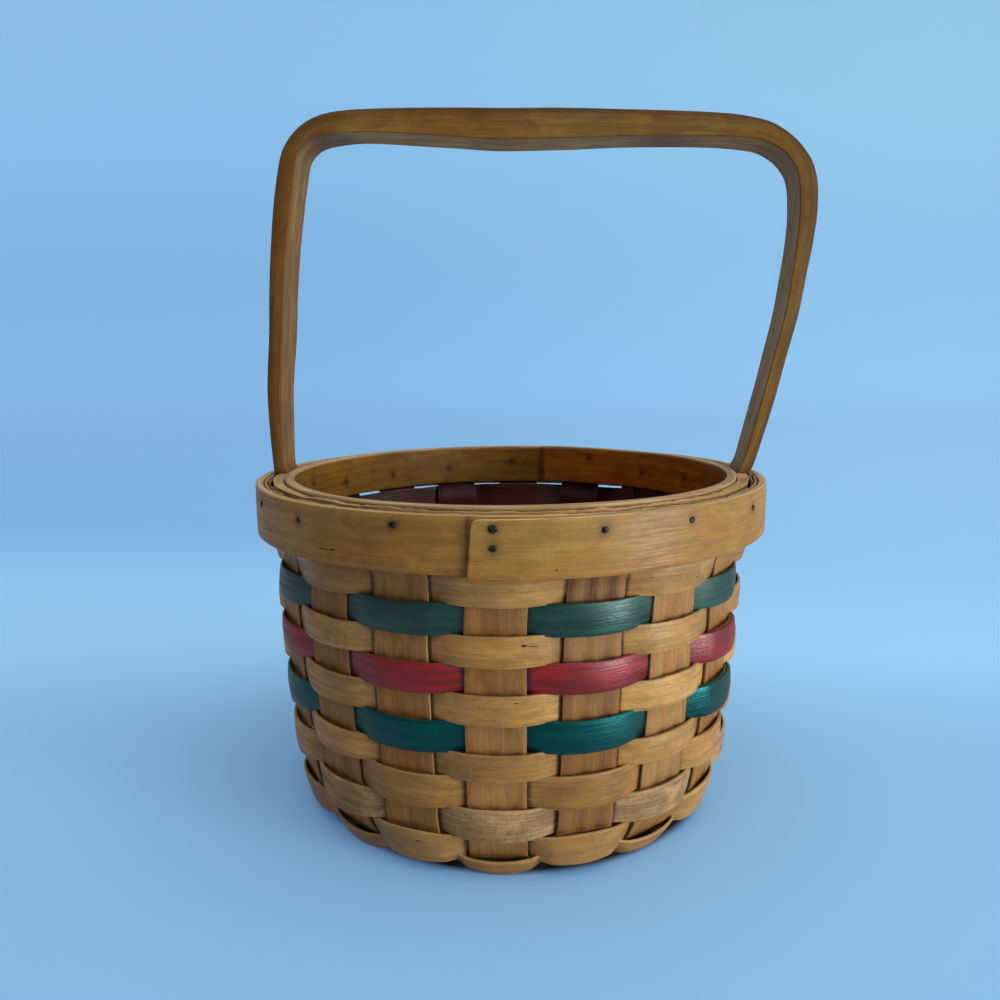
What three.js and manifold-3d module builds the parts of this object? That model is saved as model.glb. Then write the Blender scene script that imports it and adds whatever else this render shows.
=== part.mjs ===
// A woven wood basket with coloured splints and a fixed bentwood handle.
//
// Nine flat splints cross in the base, bend up at its edge and stand as eighteen uprights. Eleven
// splints weave round them, each row a ring of its own whose two ends lap over one upright and
// hide behind its neighbours. Two bent hoops clamp the tops of the uprights, with thin filler
// splints between them, and a nail goes through every upright. The handle's feet run down between
// the filler and the inner hoop, which they squeeze into an oval.
//
// Lengths are millimetres. While it is built, the basket stands on z = 0 with its axis on Z, its
// front towards -Y and the handle's two legs on the X axis. Angles are measured round the axis
// from the front (-Y) towards +X. At the end the group is moved so that its origin is the middle
// of its footprint box on the floor, because the handle leans out further on one side.

import * as THREE from 'three';
import Module from 'manifold-3d';

const wasm = await Module();
wasm.setup();

// The rim: its height over the floor, the outside of the outer hoop, and how wide the whole basket
// is from foot to foot of the handle as a share of its width from front to back
const rimHeight = 126.2;
const rimRadius = 100;
const ovalShare = 0.988;

// Splints: how many cross in the base, the uprights, the weavers, and the clear space between
// them where they cross. Half of the side strips lie on each side of the middle.
const frontStrips = 5;
const sideStrips = 4;
const uprightWidth = 19.6;
const uprightThickness = 0.9;
const weaverThickness = 1;
const crossingGap = 0.35;
const fitGap = 0.3;

// Wall: how far it stands in from the rim, how much it tapers down to the floor and how late, the
// turned-in foot of the wall, and the short stretch where the uprights lean out to the rim
const wallSetInWidth = 9;
const wallTaperWidth = 7.8;
const wallTaperPower = 2.2;
const footTurnHeight = 22.2;
const footTurnDepth = 12.05;
const rimLeanDrop = 12.2;
const rimLeanHeight = 13;

// Weaver rows from the rim down, which fill the wall between the rim and the bare stretch at its
// foot: their heights as shares, their colours, the upright over which each row's ends lap, and
// how far the lower edge of the lower rows flares out
const rowsFootLength = 6.1;
const rowsTopDrop = 19.6;
const rowGap = 0.3;
const overBulgeHeight = 0.6;
const underBulgeHeight = 0.1;
const lapGap = 0.35;
const rowFlareWidth = 1.5;
const rowHeightShares = [0.98, 1.01, 0.93, 0.98, 0.97, 1.05, 0.88, 1.09, 1.06, 1.1, 0.6];
const rowFlareShares = [0, 0, 0, 0, 0, 0, 0.1, 0.2, 0.4, 0.9, 0.4];
const rowLapUprights = [8, 9, 10, 3, 12, 3, 6, 11, 8, 7, 10];
const rowLooks = [
  'natural', 'greyGreen', 'natural', 'red', 'natural', 'teal',
  'natural', 'natural', 'pale', 'natural', 'natural',
];

// Base: the clear space between neighbouring strips, and the stations on each strip's turn from
// the last crossing to the edge of the base
const baseStripGap = 2.1;
const fanShares = [0.35, 0.7];

// Outer hoop, which laps at the front, and inner hoop, which laps at the back
const outerHoopHeight = 18.3;
const outerHoopThickness = 2.8;
const outerHoopEndAngle = -4.6;
const outerHoopCornerRadius = 2.6;
const innerHoopHeight = 17.6;
const innerHoopThickness = 3.5;
const innerHoopRiseHeight = 1.4;
const innerHoopTopRadius = 1;
const innerHoopEndAngle = 173;

// A hoop's two ends where they lap: length, thickness at the tips and at the start of the lap, and
// the length over which the hoop comes back to its full thickness and its circle
const lapLength = 38;
const lapTipThickness = 0.9;
const lapStartThickness = 1.9;
const lapSettleLength = 30;

// Filler splints between the hoops and the uprights
const outerFillerThickness = 0.9;
const outerFillerHeight = 15.5;
const outerFillerDrop = 0.9;
const outerFillerButtGap = 1.6;
const outerFillerButtAngle = -146;
const innerFillerThickness = 0.9;
const innerFillerHeight = 10.6;
const innerFillerDrop = 0.6;
const uprightTopDrop = 1.6;

// Nails: one through each upright, a second one where the outer hoop laps, and one through each
// foot of the handle. They sit a little off the uprights' middles and not all at one height.
const nailShankWidth = 1.2;
const nailHeadRadius = 1.4;
const nailHeadHeight = 0.6;
const nailPointLength = 1.4;
const nailTipGap = 0.3;
const nailHeadGap = 0.1;
const nailHoleGap = 0.25;
const nailDrop = 4.6;
const lapNailDrop = 9.4;
const handleNailDrop = 6.5;
const nailSides = 6;
const nailDropShares = [
  0.78, 1.02, 0.98, 1.2, 1.05, 1.3, 1.63, 1.85, 0.74, 1.35, 1.93, 2.1, 2.1, 1.4, 1.1, 1.04, 1.26, 0.75,
];
const nailTurnShares = [
  -0.02, -0.06, -0.14, -0.05, 0.06, -0.08, -0.15, -0.18, -0.2, 0.1, 0.15, 0.18, 0.18, 0.1, -0.06, 0.03, -0.06, 0.09,
];

// Handle: its height over the rim, its section at the feet, and the full size of its section
const handleHeight = 137;
const handleWidth = 19;
const handleFootWidth = 16;
const handleFootThickness = 4.4;
const handleGripThickness = 11;
const handleInsertLength = 11.4;
const handleChamferWidth = 1.1;

// Stations of the handle from the left foot to the right one. Each row holds the outer face's
// place across as a share of the foot's, its height as a share of the handle's, and how far the
// thickness and the width have grown from the feet's to the full ones.
const handleShares = [
  [-1.009, 0.012, 0, 0.1], [-1.021, 0.217, 0.12, 1], [-1.005, 0.414, 0.21, 1], [-0.996, 0.525, 0.26, 1],
  [-0.979, 0.652, 0.3, 1], [-0.963, 0.745, 0.36, 1], [-0.94, 0.835, 0.36, 1], [-0.92, 0.888, 0.3, 1],
  [-0.892, 0.922, 0.24, 1], [-0.853, 0.951, 0.26, 1], [-0.805, 0.973, 0.36, 1], [-0.746, 0.988, 0.48, 1],
  [-0.675, 0.996, 0.53, 1], [-0.597, 0.999, 0.56, 1], [-0.469, 1, 0.65, 1], [-0.228, 0.998, 0.86, 1],
  [-0.028, 0.994, 1, 1], [0.21, 0.991, 0.95, 1], [0.445, 0.984, 0.76, 1], [0.664, 0.977, 0.65, 1],
  [0.869, 0.967, 0.53, 1], [1.017, 0.948, 0.4, 1], [1.1, 0.919, 0.3, 1], [1.168, 0.876, 0.25, 1],
  [1.211, 0.828, 0.28, 1], [1.229, 0.772, 0.32, 1], [1.231, 0.719, 0.3, 1], [1.22, 0.635, 0.23, 1],
  [1.203, 0.561, 0.16, 1], [1.179, 0.455, 0.11, 1], [1.133, 0.32, 0.06, 1], [1.096, 0.209, 0.05, 0.9],
  [1.06, 0.116, 0.02, 0.6], [1.023, 0.025, 0, 0.1],
];

// Colours of the wood and the nails
const looks = {
  natural: { color: 0xc79a62, roughness: 0.62 },
  pale: { color: 0xbfa67c, roughness: 0.8 },
  greyGreen: { color: 0x41655f, roughness: 0.55 },
  red: { color: 0x93424a, roughness: 0.55 },
  teal: { color: 0x0f6a68, roughness: 0.5 },
  upright: { color: 0xb88a58, roughness: 0.66 },
  hoop: { color: 0xc49a58, roughness: 0.55 },
  filler: { color: 0xb58c56, roughness: 0.7 },
  handle: { color: 0x7d5c3a, roughness: 0.7 },
  nail: { color: 0x3c463f, roughness: 0.45, metalness: 0.6 },
};

// Counts and angles that follow from the strips
const uprightCount = 2 * (frontStrips + sideStrips);
const pitchAngle = (2 * Math.PI) / uprightCount;
const hoopStations = 3 * uprightCount;
const facetShare = Math.cos(Math.PI / hoopStations);
const quarterTurn = Math.PI / 2;
const degree = Math.PI / 180;
const baseStripPitch = uprightWidth + baseStripGap;

// Base levels: two layers of splint with the crossing gap between them, standing on the floor
const baseWave = (uprightThickness + crossingGap) / 2;
const baseLevel = uprightThickness / 2 + baseWave;

const clamp01 = (t) => Math.min(1, Math.max(0, t));
const lerp = THREE.MathUtils.lerp;
const smooth = (t) => {
  const s = clamp01(t);
  return s * s * (3 - 2 * s);
};
const outward = (angle) => new THREE.Vector3(Math.sin(angle), -Math.cos(angle), 0);
const sideways = (angle) => new THREE.Vector3(Math.cos(angle), Math.sin(angle), 0);
const polar = (angle, radius, height) => outward(angle).multiplyScalar(radius).setZ(height);

// An upright is a flat plate: the distance of its plane from the axis when its edges lie on a
// circle, and the angle from its middle to its edges
const plateDistance = (edgeRadius) => Math.sqrt(edgeRadius ** 2 - (uprightWidth / 2) ** 2);
const plateHalfAngle = (edgeRadius) => Math.asin(uprightWidth / 2 / edgeRadius);

// The uprights' outer faces under the rim
const wallTopRadius = rimRadius - wallSetInWidth;

// The layers of the rim from the outside in. A layer inside a faceted ring clears the middles of
// its facets.
const outerHoopInner = rimRadius - outerHoopThickness;
const outerFillerOuter = outerHoopInner * facetShare - fitGap;
const outerFillerInner = outerFillerOuter - outerFillerThickness;
const uprightRimRadius = outerFillerInner * facetShare - fitGap;
const uprightRimInner = plateDistance(uprightRimRadius - uprightThickness / 2) - uprightThickness / 2;
const innerFillerOuter = uprightRimInner - fitGap;
const innerFillerInner = innerFillerOuter - innerFillerThickness;
const innerHoopFront = innerFillerInner * facetShare - fitGap;

// The handle's foot stands behind the edges of its two neighbouring uprights
const handleFootCorner = (handleFootWidth / 2) * Math.sin(pitchAngle / 2);
const handleFootOuter = (uprightRimInner - fitGap - handleFootCorner) / Math.cos(pitchAngle / 2);
const innerHoopSide = handleFootOuter - handleFootThickness - fitGap;

// The wall's radius at a height, to the middle of the uprights' thickness at their edges
function wallRadius(height) {
  const wallTop = rimHeight - outerHoopHeight;
  const down = Math.max(0, (wallTop - height) / wallTop);
  const taper = wallTaperWidth * down ** wallTaperPower;
  const turn = clamp01((baseLevel + footTurnHeight - height) / footTurnHeight);
  const turnedIn = footTurnDepth * (1 - Math.sqrt(1 - turn * turn));
  const leanShare = smooth((height - rimHeight + rimLeanDrop + rimLeanHeight) / rimLeanHeight);
  const lean = (uprightRimRadius - wallTopRadius) * leanShare;
  return wallTopRadius - uprightThickness / 2 - taper - turnedIn + lean;
}

// The wall's profile as a fine chain from the rim to the base, with the length walked so far
const wallSteps = 400;
const wallProfile = [];
for (let step = 0; step <= wallSteps; step++) {
  const share = Math.sin((quarterTurn * step) / wallSteps);
  const height = lerp(rimHeight - uprightTopDrop, baseLevel, share);
  const radius = wallRadius(height);
  const last = wallProfile[step - 1];
  const walked = last ? last.walked + Math.hypot(radius - last.radius, height - last.height) : 0;
  wallProfile.push({ radius, height, walked });
}

function alongWall(reached, shareOf) {
  const next = Math.max(1, wallProfile.findIndex(reached));
  const from = wallProfile[next - 1];
  const to = wallProfile[next];
  const share = shareOf(from, to);
  return {
    radius: lerp(from.radius, to.radius, share),
    height: lerp(from.height, to.height, share),
    walked: lerp(from.walked, to.walked, share),
  };
}
const wallAtHeight = (height) => alongWall(
  (point) => point.height <= height,
  (from, to) => (from.height - height) / (from.height - to.height),
);
const wallAtWalk = (walked) => alongWall(
  (point) => point.walked >= walked,
  (from, to) => (walked - from.walked) / (to.walked - from.walked),
);

// The rows' edges on the wall, one more than there are rows. The uprights bend only there, so an
// upright and a weaver are parallel where they cross.
const rowEdges = [wallAtHeight(rimHeight - rowsTopDrop)];
const rowsLength = wallProfile[wallSteps].walked - rowsFootLength - rowEdges[0].walked;
const rowPitch = rowsLength / rowHeightShares.reduce((sum, share) => sum + share);
for (const share of rowHeightShares) {
  rowEdges.push(wallAtWalk(rowEdges[rowEdges.length - 1].walked + share * rowPitch));
}

// A closed solid from rings of points, all with the same count, capped at both ends
function loft(rings) {
  const count = rings[0].length;
  const faces = [];
  for (let ring = 1; ring < rings.length; ring++) {
    const from = (ring - 1) * count;
    const to = ring * count;
    for (let i = 0; i < count; i++) {
      const j = (i + 1) % count;
      faces.push([from + i, to + i, to + j], [from + i, to + j, from + j]);
    }
  }
  const last = (rings.length - 1) * count;
  for (let i = 1; i < count - 1; i++) {
    faces.push([0, i, i + 1], [last, last + i + 1, last + i]);
  }
  const points = rings.flat();
  return outwardFacing(points.flatMap((point) => [point.x, point.y, point.z]), faces.flat());
}

// Turns the faces round where they point inwards
function outwardFacing(positions, index) {
  const corners = index.map((i) => new THREE.Vector3().fromArray(positions, 3 * i));
  let volume = 0;
  for (let i = 0; i < corners.length; i += 3) {
    volume += corners[i].dot(corners[i + 1].clone().cross(corners[i + 2]));
  }
  const geometry = new THREE.BufferGeometry();
  geometry.setAttribute('position', new THREE.Float32BufferAttribute(positions, 3));
  geometry.setIndex(volume < 0 ? index.toReversed() : index);
  return geometry;
}

function toSolid(geometry) {
  return new wasm.Manifold(new wasm.Mesh({
    numProp: 3,
    vertProperties: new Float32Array(geometry.getAttribute('position').array),
    triVerts: new Uint32Array(geometry.getIndex().array),
  }));
}

function toGeometry(solid) {
  const mesh = solid.getMesh();
  const geometry = new THREE.BufferGeometry();
  geometry.setAttribute('position', new THREE.Float32BufferAttribute(mesh.vertProperties, 3));
  geometry.setIndex(Array.from(mesh.triVerts));
  return geometry;
}

// A lapped hoop seen in section: how far its two faces lie from the layer that it is bent on, at a
// distance walked from its starting end, which lies on top of its finishing end
function hoopLayers(walked, round, thickness) {
  const endThickness = (fromEnd) => (fromEnd < lapLength
    ? lerp(lapTipThickness, lapStartThickness, fromEnd / lapLength)
    : lerp(lapStartThickness, thickness, smooth((fromEnd - lapLength) / lapSettleLength)));
  const toFinish = round + lapLength - walked;
  const own = Math.min(endThickness(walked), endThickness(toFinish));
  if (walked > round) {
    return [0, own];
  }
  const settled = smooth((walked - lapLength) / lapSettleLength);
  const under = walked < lapLength ? endThickness(lapLength - walked) : lapTipThickness;
  const lifted = (under + lapGap) * (1 - settled);
  return [lifted, lifted + own];
}

function hoopPlaces(round, corner) {
  const places = [0, corner / 3, corner].slice(corner > 0 ? 0 : 2);
  for (let step = 1; step * (round / hoopStations) < round + lapLength; step++) {
    places.push(step * (round / hoopStations));
  }
  places.push(round + lapLength);
  return places;
}

// Outer hoop, with the corners of its outside end rounded
const outerRound = 2 * Math.PI * rimRadius;

function outerHoopSurface(angle) {
  const turns = (angle - outerHoopEndAngle * degree) / (2 * Math.PI);
  const walked = (turns - Math.floor(turns)) * outerRound;
  return outerHoopInner + hoopLayers(walked, outerRound, outerHoopThickness)[1];
}

function outerHoop() {
  const rings = hoopPlaces(outerRound, outerHoopCornerRadius).map((walked) => {
    const angle = outerHoopEndAngle * degree + walked / rimRadius;
    const [near, far] = hoopLayers(walked, outerRound, outerHoopThickness);
    const intoCorner = clamp01(1 - walked / outerHoopCornerRadius);
    const cut = outerHoopCornerRadius * (1 - Math.sqrt(1 - intoCorner ** 2));
    const top = rimHeight - cut;
    const bottom = rimHeight - outerHoopHeight + cut;
    return [
      polar(angle, outerHoopInner + near, bottom),
      polar(angle, outerHoopInner + far, bottom),
      polar(angle, outerHoopInner + far, top),
      polar(angle, outerHoopInner + near, top),
    ];
  });
  return loft(rings);
}

// Inner hoop, an oval as narrow at the sides as the handle's feet leave it, with a rounded top
const innerRound = 2 * Math.PI * innerHoopFront;

function ovalRadius(angle, inset) {
  const acrossShare = Math.sin(angle) / (innerHoopSide - inset);
  const frontShare = Math.cos(angle) / (innerHoopFront - inset);
  return 1 / Math.hypot(acrossShare, frontShare);
}

function innerHoopSurface(angle) {
  const turns = (angle - innerHoopEndAngle * degree) / (2 * Math.PI);
  const walked = (turns - Math.floor(turns)) * innerRound;
  return ovalRadius(angle, hoopLayers(walked, innerRound, innerHoopThickness)[1]);
}

function innerHoop() {
  const top = rimHeight + innerHoopRiseHeight;
  const rings = hoopPlaces(innerRound, 0).map((walked) => {
    const angle = innerHoopEndAngle * degree + walked / innerHoopFront;
    const [near, far] = hoopLayers(walked, innerRound, innerHoopThickness);
    const rounding = Math.min(innerHoopTopRadius, (far - near) / 3);
    return [
      polar(angle, ovalRadius(angle, far), top - innerHoopHeight),
      polar(angle, ovalRadius(angle, near), top - innerHoopHeight),
      polar(angle, ovalRadius(angle, near), top - rounding),
      polar(angle, ovalRadius(angle, near + rounding), top),
      polar(angle, ovalRadius(angle, far - rounding), top),
      polar(angle, ovalRadius(angle, far), top - rounding),
    ];
  });
  return loft(rings);
}

// A plain splint bent to a part of a circle
function filler(outer, thickness, top, height, fromAngle, toAngle) {
  const steps = Math.ceil(((toAngle - fromAngle) / (2 * Math.PI)) * hoopStations);
  const rings = [];
  for (let step = 0; step <= steps; step++) {
    const angle = lerp(fromAngle, toAngle, step / steps);
    rings.push([
      polar(angle, outer - thickness, top - height),
      polar(angle, outer, top - height),
      polar(angle, outer, top),
      polar(angle, outer - thickness, top),
    ]);
  }
  return loft(rings);
}

// Half of a base strip, from the middle of the base out to its edge and up the wall. The side
// counts quarter turns from the front, and the place counts strips from the middle one.
function halfStrip(side, place) {
  const sideAngle = side * quarterTurn;
  const angle = sideAngle + place * pitchAngle;
  const along = outward(sideAngle);
  const beside = sideways(sideAngle);
  const overEven = side % 2 === 0;
  const otherCount = overEven ? sideStrips : frontStrips;
  const across = overEven ? frontStrips : sideStrips;
  const stations = [];
  let level = baseLevel;
  for (let other = (otherCount - 1) % 2 ? 1 / 2 : 0; other <= (otherCount - 1) / 2; other++) {
    const crossing = along.clone().multiplyScalar(other).addScaledVector(beside, place);
    const odd = Math.abs(Math.round(crossing.x + crossing.y + (otherCount + across - 2) / 2)) % 2;
    level = baseLevel + (odd === (overEven ? 1 : 0) ? baseWave : -baseWave);
    for (const edge of [-1, 1]) {
      const distance = other * baseStripPitch + (edge * uprightWidth) / 2;
      if (distance > 0) {
        const point = along.clone().multiplyScalar(distance);
        point.addScaledVector(beside, place * baseStripPitch).setZ(level);
        stations.push({ point, across: beside });
      }
    }
  }

  // From the last crossing the strip swings round until it heads straight out at the wall
  const start = stations[stations.length - 1].point;
  const edgeRadius = wallProfile[wallSteps].radius;
  const end = polar(angle, plateDistance(edgeRadius), level);
  const reach = start.distanceTo(end);
  const startHeading = along.clone().multiplyScalar(reach);
  const endHeading = outward(angle).multiplyScalar(reach);
  for (const t of fanShares) {
    const point = start.clone().multiplyScalar(1 - smooth(t)).addScaledVector(end, smooth(t));
    point.addScaledVector(startHeading, t * (1 - t) ** 2).addScaledVector(endHeading, -t * t * (1 - t));
    const heading = end.clone().sub(start).multiplyScalar(6 * t * (1 - t));
    heading.addScaledVector(startHeading, (1 - t) * (1 - 3 * t));
    heading.addScaledVector(endHeading, t * (3 * t - 2)).normalize();
    stations.push({ point, across: new THREE.Vector3(-heading.y, heading.x, 0) });
  }
  stations.push({ point: end, across: sideways(angle) });

  // Up the wall, with bends only at the rows' edges and at the rim
  const heights = [
    ...rowEdges.map((edge) => edge.height).toReversed(),
    rimHeight + innerHoopRiseHeight - innerHoopHeight,
    rimHeight - rimLeanDrop,
    rimHeight - uprightTopDrop,
  ];
  for (const height of heights) {
    const edge = wallAtHeight(height);
    stations.push({ point: polar(angle, plateDistance(edge.radius), height), across: sideways(angle) });
  }
  return stations;
}

// A whole strip: one half from its top down to the middle, then the opposite half up again
function baseStrip(side, place) {
  const near = halfStrip(side, place).toReversed();
  const far = halfStrip(side + 2, -place).map(({ point, across }) => ({ point, across: across.clone().negate() }));
  const chain = [...near, ...far];
  const rings = chain.map(({ point, across }, i) => {
    const before = chain[Math.max(i - 1, 0)].point;
    const after = chain[Math.min(i + 1, chain.length - 1)].point;
    const arriving = point.clone().sub(before).normalize();
    const leaving = after.clone().sub(point).normalize();
    const heading = arriving.clone().add(leaving).normalize();
    const mitre = Math.max(heading.dot(arriving), heading.dot(leaving));
    const lift = across.clone().cross(heading).normalize().multiplyScalar(uprightThickness / 2 / mitre);
    const half = across.clone().multiplyScalar(uprightWidth / 2);
    return [
      point.clone().sub(half).sub(lift),
      point.clone().add(half).sub(lift),
      point.clone().add(half).add(lift),
      point.clone().sub(half).add(lift),
    ];
  });
  return loft(rings);
}

// A weaver: it runs over one upright and under the next, round the whole basket and on over its
// own start. The starting layer lies inside, the finishing layer outside.
function weaver(row) {
  const upper = rowEdges[row];
  const lower = rowEdges[row + 1];
  const slant = Math.hypot(lower.radius - upper.radius, lower.height - upper.height);
  const normalOut = (upper.height - lower.height) / slant;
  const normalUp = (lower.radius - upper.radius) / slant;
  const insetShare = rowGap / 2 / slant;
  const clear = (uprightThickness + weaverThickness) / 2 + crossingGap;
  const layer = weaverThickness + lapGap;
  const lapUpright = rowLapUprights[row];
  const first = lapUpright - 1;
  const last = lapUpright + uprightCount + 1;
  const rings = [];
  for (let upright = first; upright <= last; upright++) {
    const over = (upright + row) % 2 === 0;
    const starting = upright <= first + 2;
    const finishing = upright >= last - 2;
    const extra = over ? (finishing ? layer : 0) : (starting ? -layer : 0);
    for (const place of [-1, 0, 1]) {
      if ((upright === first && place < 0) || (upright === last && place > 0)) {
        continue;
      }
      const corner = (edgeShare, flareShare, face) => {
        const radius = lerp(upper.radius, lower.radius, edgeShare);
        const height = lerp(upper.height, lower.height, edgeShare);
        const bulge = place === 0 ? (over ? overBulgeHeight : underBulgeHeight) : 0;
        const flare = over ? rowFlareWidth * rowFlareShares[row] * flareShare : 0;
        const offset = (over ? 1 : -1) * (clear + bulge) + extra + flare + face;
        const onPlate = place === 0 && !over ? plateDistance(radius) : radius;
        const angle = upright * pitchAngle + place * plateHalfAngle(radius);
        return polar(angle, onPlate + offset * normalOut, height + offset * normalUp);
      };
      rings.push([
        corner(insetShare, 0, -weaverThickness / 2),
        corner(insetShare, 0, weaverThickness / 2),
        corner(1 - insetShare, 1, weaverThickness / 2),
        corner(1 - insetShare, 1, -weaverThickness / 2),
      ]);
    }
  }
  return loft(rings);
}

// The handle: a chamfered section carried along the outer face's stations, both feet straight
function handle() {
  const outline = handleShares.map(([across, up, thicker, wider]) => ({
    x: across * handleFootOuter,
    z: rimHeight + up * handleHeight,
    thickness: lerp(handleFootThickness, handleGripThickness, thicker),
    width: lerp(handleFootWidth, handleWidth, wider),
  }));
  const foot = (x, z) => ({ x, z, thickness: handleFootThickness, width: handleFootWidth });
  const stations = [
    foot(-handleFootOuter, rimHeight - handleInsertLength),
    foot(-handleFootOuter, rimHeight - uprightTopDrop),
    ...outline,
    foot(handleFootOuter, rimHeight - uprightTopDrop),
    foot(handleFootOuter, rimHeight - handleInsertLength),
  ];
  const rings = stations.map((station, i) => {
    const before = stations[Math.max(i - 1, 0)];
    const after = stations[Math.min(i + 1, stations.length - 1)];
    const atEnd = i < 2 || i > stations.length - 3;
    const ahead = new THREE.Vector3(after.x - before.x, 0, after.z - before.z).normalize();
    const inside = atEnd
      ? new THREE.Vector3(-Math.sign(station.x), 0, 0)
      : new THREE.Vector3(ahead.z, 0, -ahead.x);
    const halfWidth = station.width / 2;
    const section = [
      [0, handleChamferWidth - halfWidth],
      [0, halfWidth - handleChamferWidth],
      [handleChamferWidth, halfWidth],
      [station.thickness - handleChamferWidth, halfWidth],
      [station.thickness, halfWidth - handleChamferWidth],
      [station.thickness, handleChamferWidth - halfWidth],
      [station.thickness - handleChamferWidth, -halfWidth],
      [handleChamferWidth, -halfWidth],
    ];
    const origin = new THREE.Vector3(station.x, 0, station.z);
    return section.map(([depth, width]) => origin.clone().addScaledVector(inside, depth).setY(width));
  });
  return loft(rings);
}

// Where the nails go: name, angle and height
const nails = [];
for (let upright = 0; upright < uprightCount; upright++) {
  const angle = (upright + nailTurnShares[upright]) * pitchAngle;
  nails.push({ name: `nail_upright_${upright}`, angle, height: rimHeight - nailDrop * nailDropShares[upright] });
}
nails.push({ name: 'nail_hoop_lap', angle: nailTurnShares[0] * pitchAngle, height: rimHeight - lapNailDrop });
nails.push({ name: 'nail_handle_right', angle: quarterTurn, height: rimHeight - handleNailDrop });
nails.push({ name: 'nail_handle_left', angle: -quarterTurn, height: rimHeight - handleNailDrop });

// Puts a shape made along Y on a nail's line, with its Y pointing out of the basket
function onNailLine(geometry, { angle, height }, radius) {
  const place = new THREE.Matrix4();
  place.makeBasis(sideways(angle).negate(), outward(angle), new THREE.Vector3(0, 0, 1));
  place.setPosition(polar(angle, radius, height));
  return geometry.applyMatrix4(place);
}

function nail(spot) {
  const seat = outerHoopSurface(spot.angle) + nailHeadGap;
  const length = seat - innerHoopSurface(spot.angle) - nailTipGap;
  const profile = [
    [0, -length],
    [nailShankWidth / 2, nailPointLength - length],
    [nailShankWidth / 2, 0],
    [nailHeadRadius, 0],
    [nailHeadRadius * 0.7, nailHeadHeight * 0.7],
    [0, nailHeadHeight],
  ];
  const rings = profile.slice(1, -1).map(([radius, y]) => {
    const ring = [];
    for (let i = 0; i < nailSides; i++) {
      const turn = (2 * Math.PI * i) / nailSides;
      ring.push(new THREE.Vector3(radius * Math.cos(turn), y, radius * Math.sin(turn)));
    }
    return ring;
  });
  const tips = [profile[0], profile[profile.length - 1]].map(([, y]) => new THREE.Vector3(0, y, 0));
  return onNailLine(pointedLoft(rings, tips), spot, seat);
}

// Rings of points closed to a single point at both ends
function pointedLoft(rings, [firstTip, lastTip]) {
  const count = rings[0].length;
  const points = [firstTip, ...rings.flat(), lastTip];
  const lastIndex = points.length - 1;
  const lastRing = lastIndex - count;
  const index = [];
  for (let i = 0; i < count; i++) {
    const j = (i + 1) % count;
    index.push(0, 1 + i, 1 + j);
    for (let from = 1; from < lastRing; from += count) {
      index.push(from + i, from + count + i, from + count + j);
      index.push(from + i, from + count + j, from + j);
    }
    index.push(lastRing + i, lastIndex, lastRing + j);
  }
  return outwardFacing(points.flatMap((point) => [point.x, point.y, point.z]), index);
}

function nailHole(spot) {
  const hole = nailShankWidth + 2 * nailHoleGap;
  const outside = outerHoopSurface(spot.angle) + outerHoopThickness;
  const inside = innerHoopSurface(spot.angle) - innerHoopThickness;
  const box = new THREE.BoxGeometry(hole, outside - inside, hole);
  const corners = box.getAttribute('position');
  const positions = [];
  const seen = new Map();
  const index = Array.from(box.getIndex().array, (i) => {
    const key = [corners.getX(i), corners.getY(i), corners.getZ(i)].join();
    if (!seen.has(key)) {
      seen.set(key, seen.size);
      positions.push(corners.getX(i), corners.getY(i), corners.getZ(i));
    }
    return seen.get(key);
  });
  return onNailLine(outwardFacing(positions, index), spot, (inside + outside) / 2);
}
const nailHoles = nails.map((spot) => toSolid(nailHole(spot))).reduce((all, hole) => all.add(hole));
const drilled = (geometry) => toGeometry(toSolid(geometry).subtract(nailHoles));

const basket = new THREE.Group();

function addPiece(name, geometry, look) {
  const mesh = new THREE.Mesh(geometry, new THREE.MeshStandardMaterial({ metalness: 0, ...looks[look] }));
  mesh.name = name;
  geometry.computeVertexNormals();
  basket.add(mesh);
}

for (let i = 0; i < frontStrips; i++) {
  addPiece(`strip_front_back_${i + 1}`, drilled(baseStrip(0, i - (frontStrips - 1) / 2)), 'upright');
}
for (let i = 0; i < sideStrips; i++) {
  addPiece(`strip_left_right_${i + 1}`, drilled(baseStrip(1, i - (sideStrips - 1) / 2)), 'upright');
}
rowLooks.forEach((look, row) => addPiece(`weaver_row_${row + 1}`, weaver(row), look));

const buttAngle = outerFillerButtGap / outerFillerOuter;
const outerFillerStart = outerFillerButtAngle * degree;
addPiece('rim_filler_outer', drilled(filler(
  outerFillerOuter, outerFillerThickness, rimHeight - outerFillerDrop, outerFillerHeight,
  outerFillerStart + buttAngle, outerFillerStart + 2 * Math.PI,
)), 'filler');

const footHalfAngle = Math.asin((handleFootWidth / 2 + fitGap) / innerFillerInner);
for (const [name, middle] of [['rim_filler_front', 0], ['rim_filler_back', Math.PI]]) {
  addPiece(name, drilled(filler(
    innerFillerOuter, innerFillerThickness, rimHeight - innerFillerDrop, innerFillerHeight,
    middle - quarterTurn + footHalfAngle, middle + quarterTurn - footHalfAngle,
  )), 'filler');
}
addPiece('hoop_outer', drilled(outerHoop()), 'hoop');
addPiece('hoop_inner', drilled(innerHoop()), 'hoop');
addPiece('handle', drilled(handle()), 'handle');
nails.forEach((spot) => addPiece(spot.name, nail(spot), 'nail'));

basket.scale.x = ovalShare;
const footprint = new THREE.Box3().setFromObject(basket).getCenter(new THREE.Vector3());
basket.position.set(-footprint.x, -footprint.y, 0);
basket.updateMatrixWorld(true);

export default basket;
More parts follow.
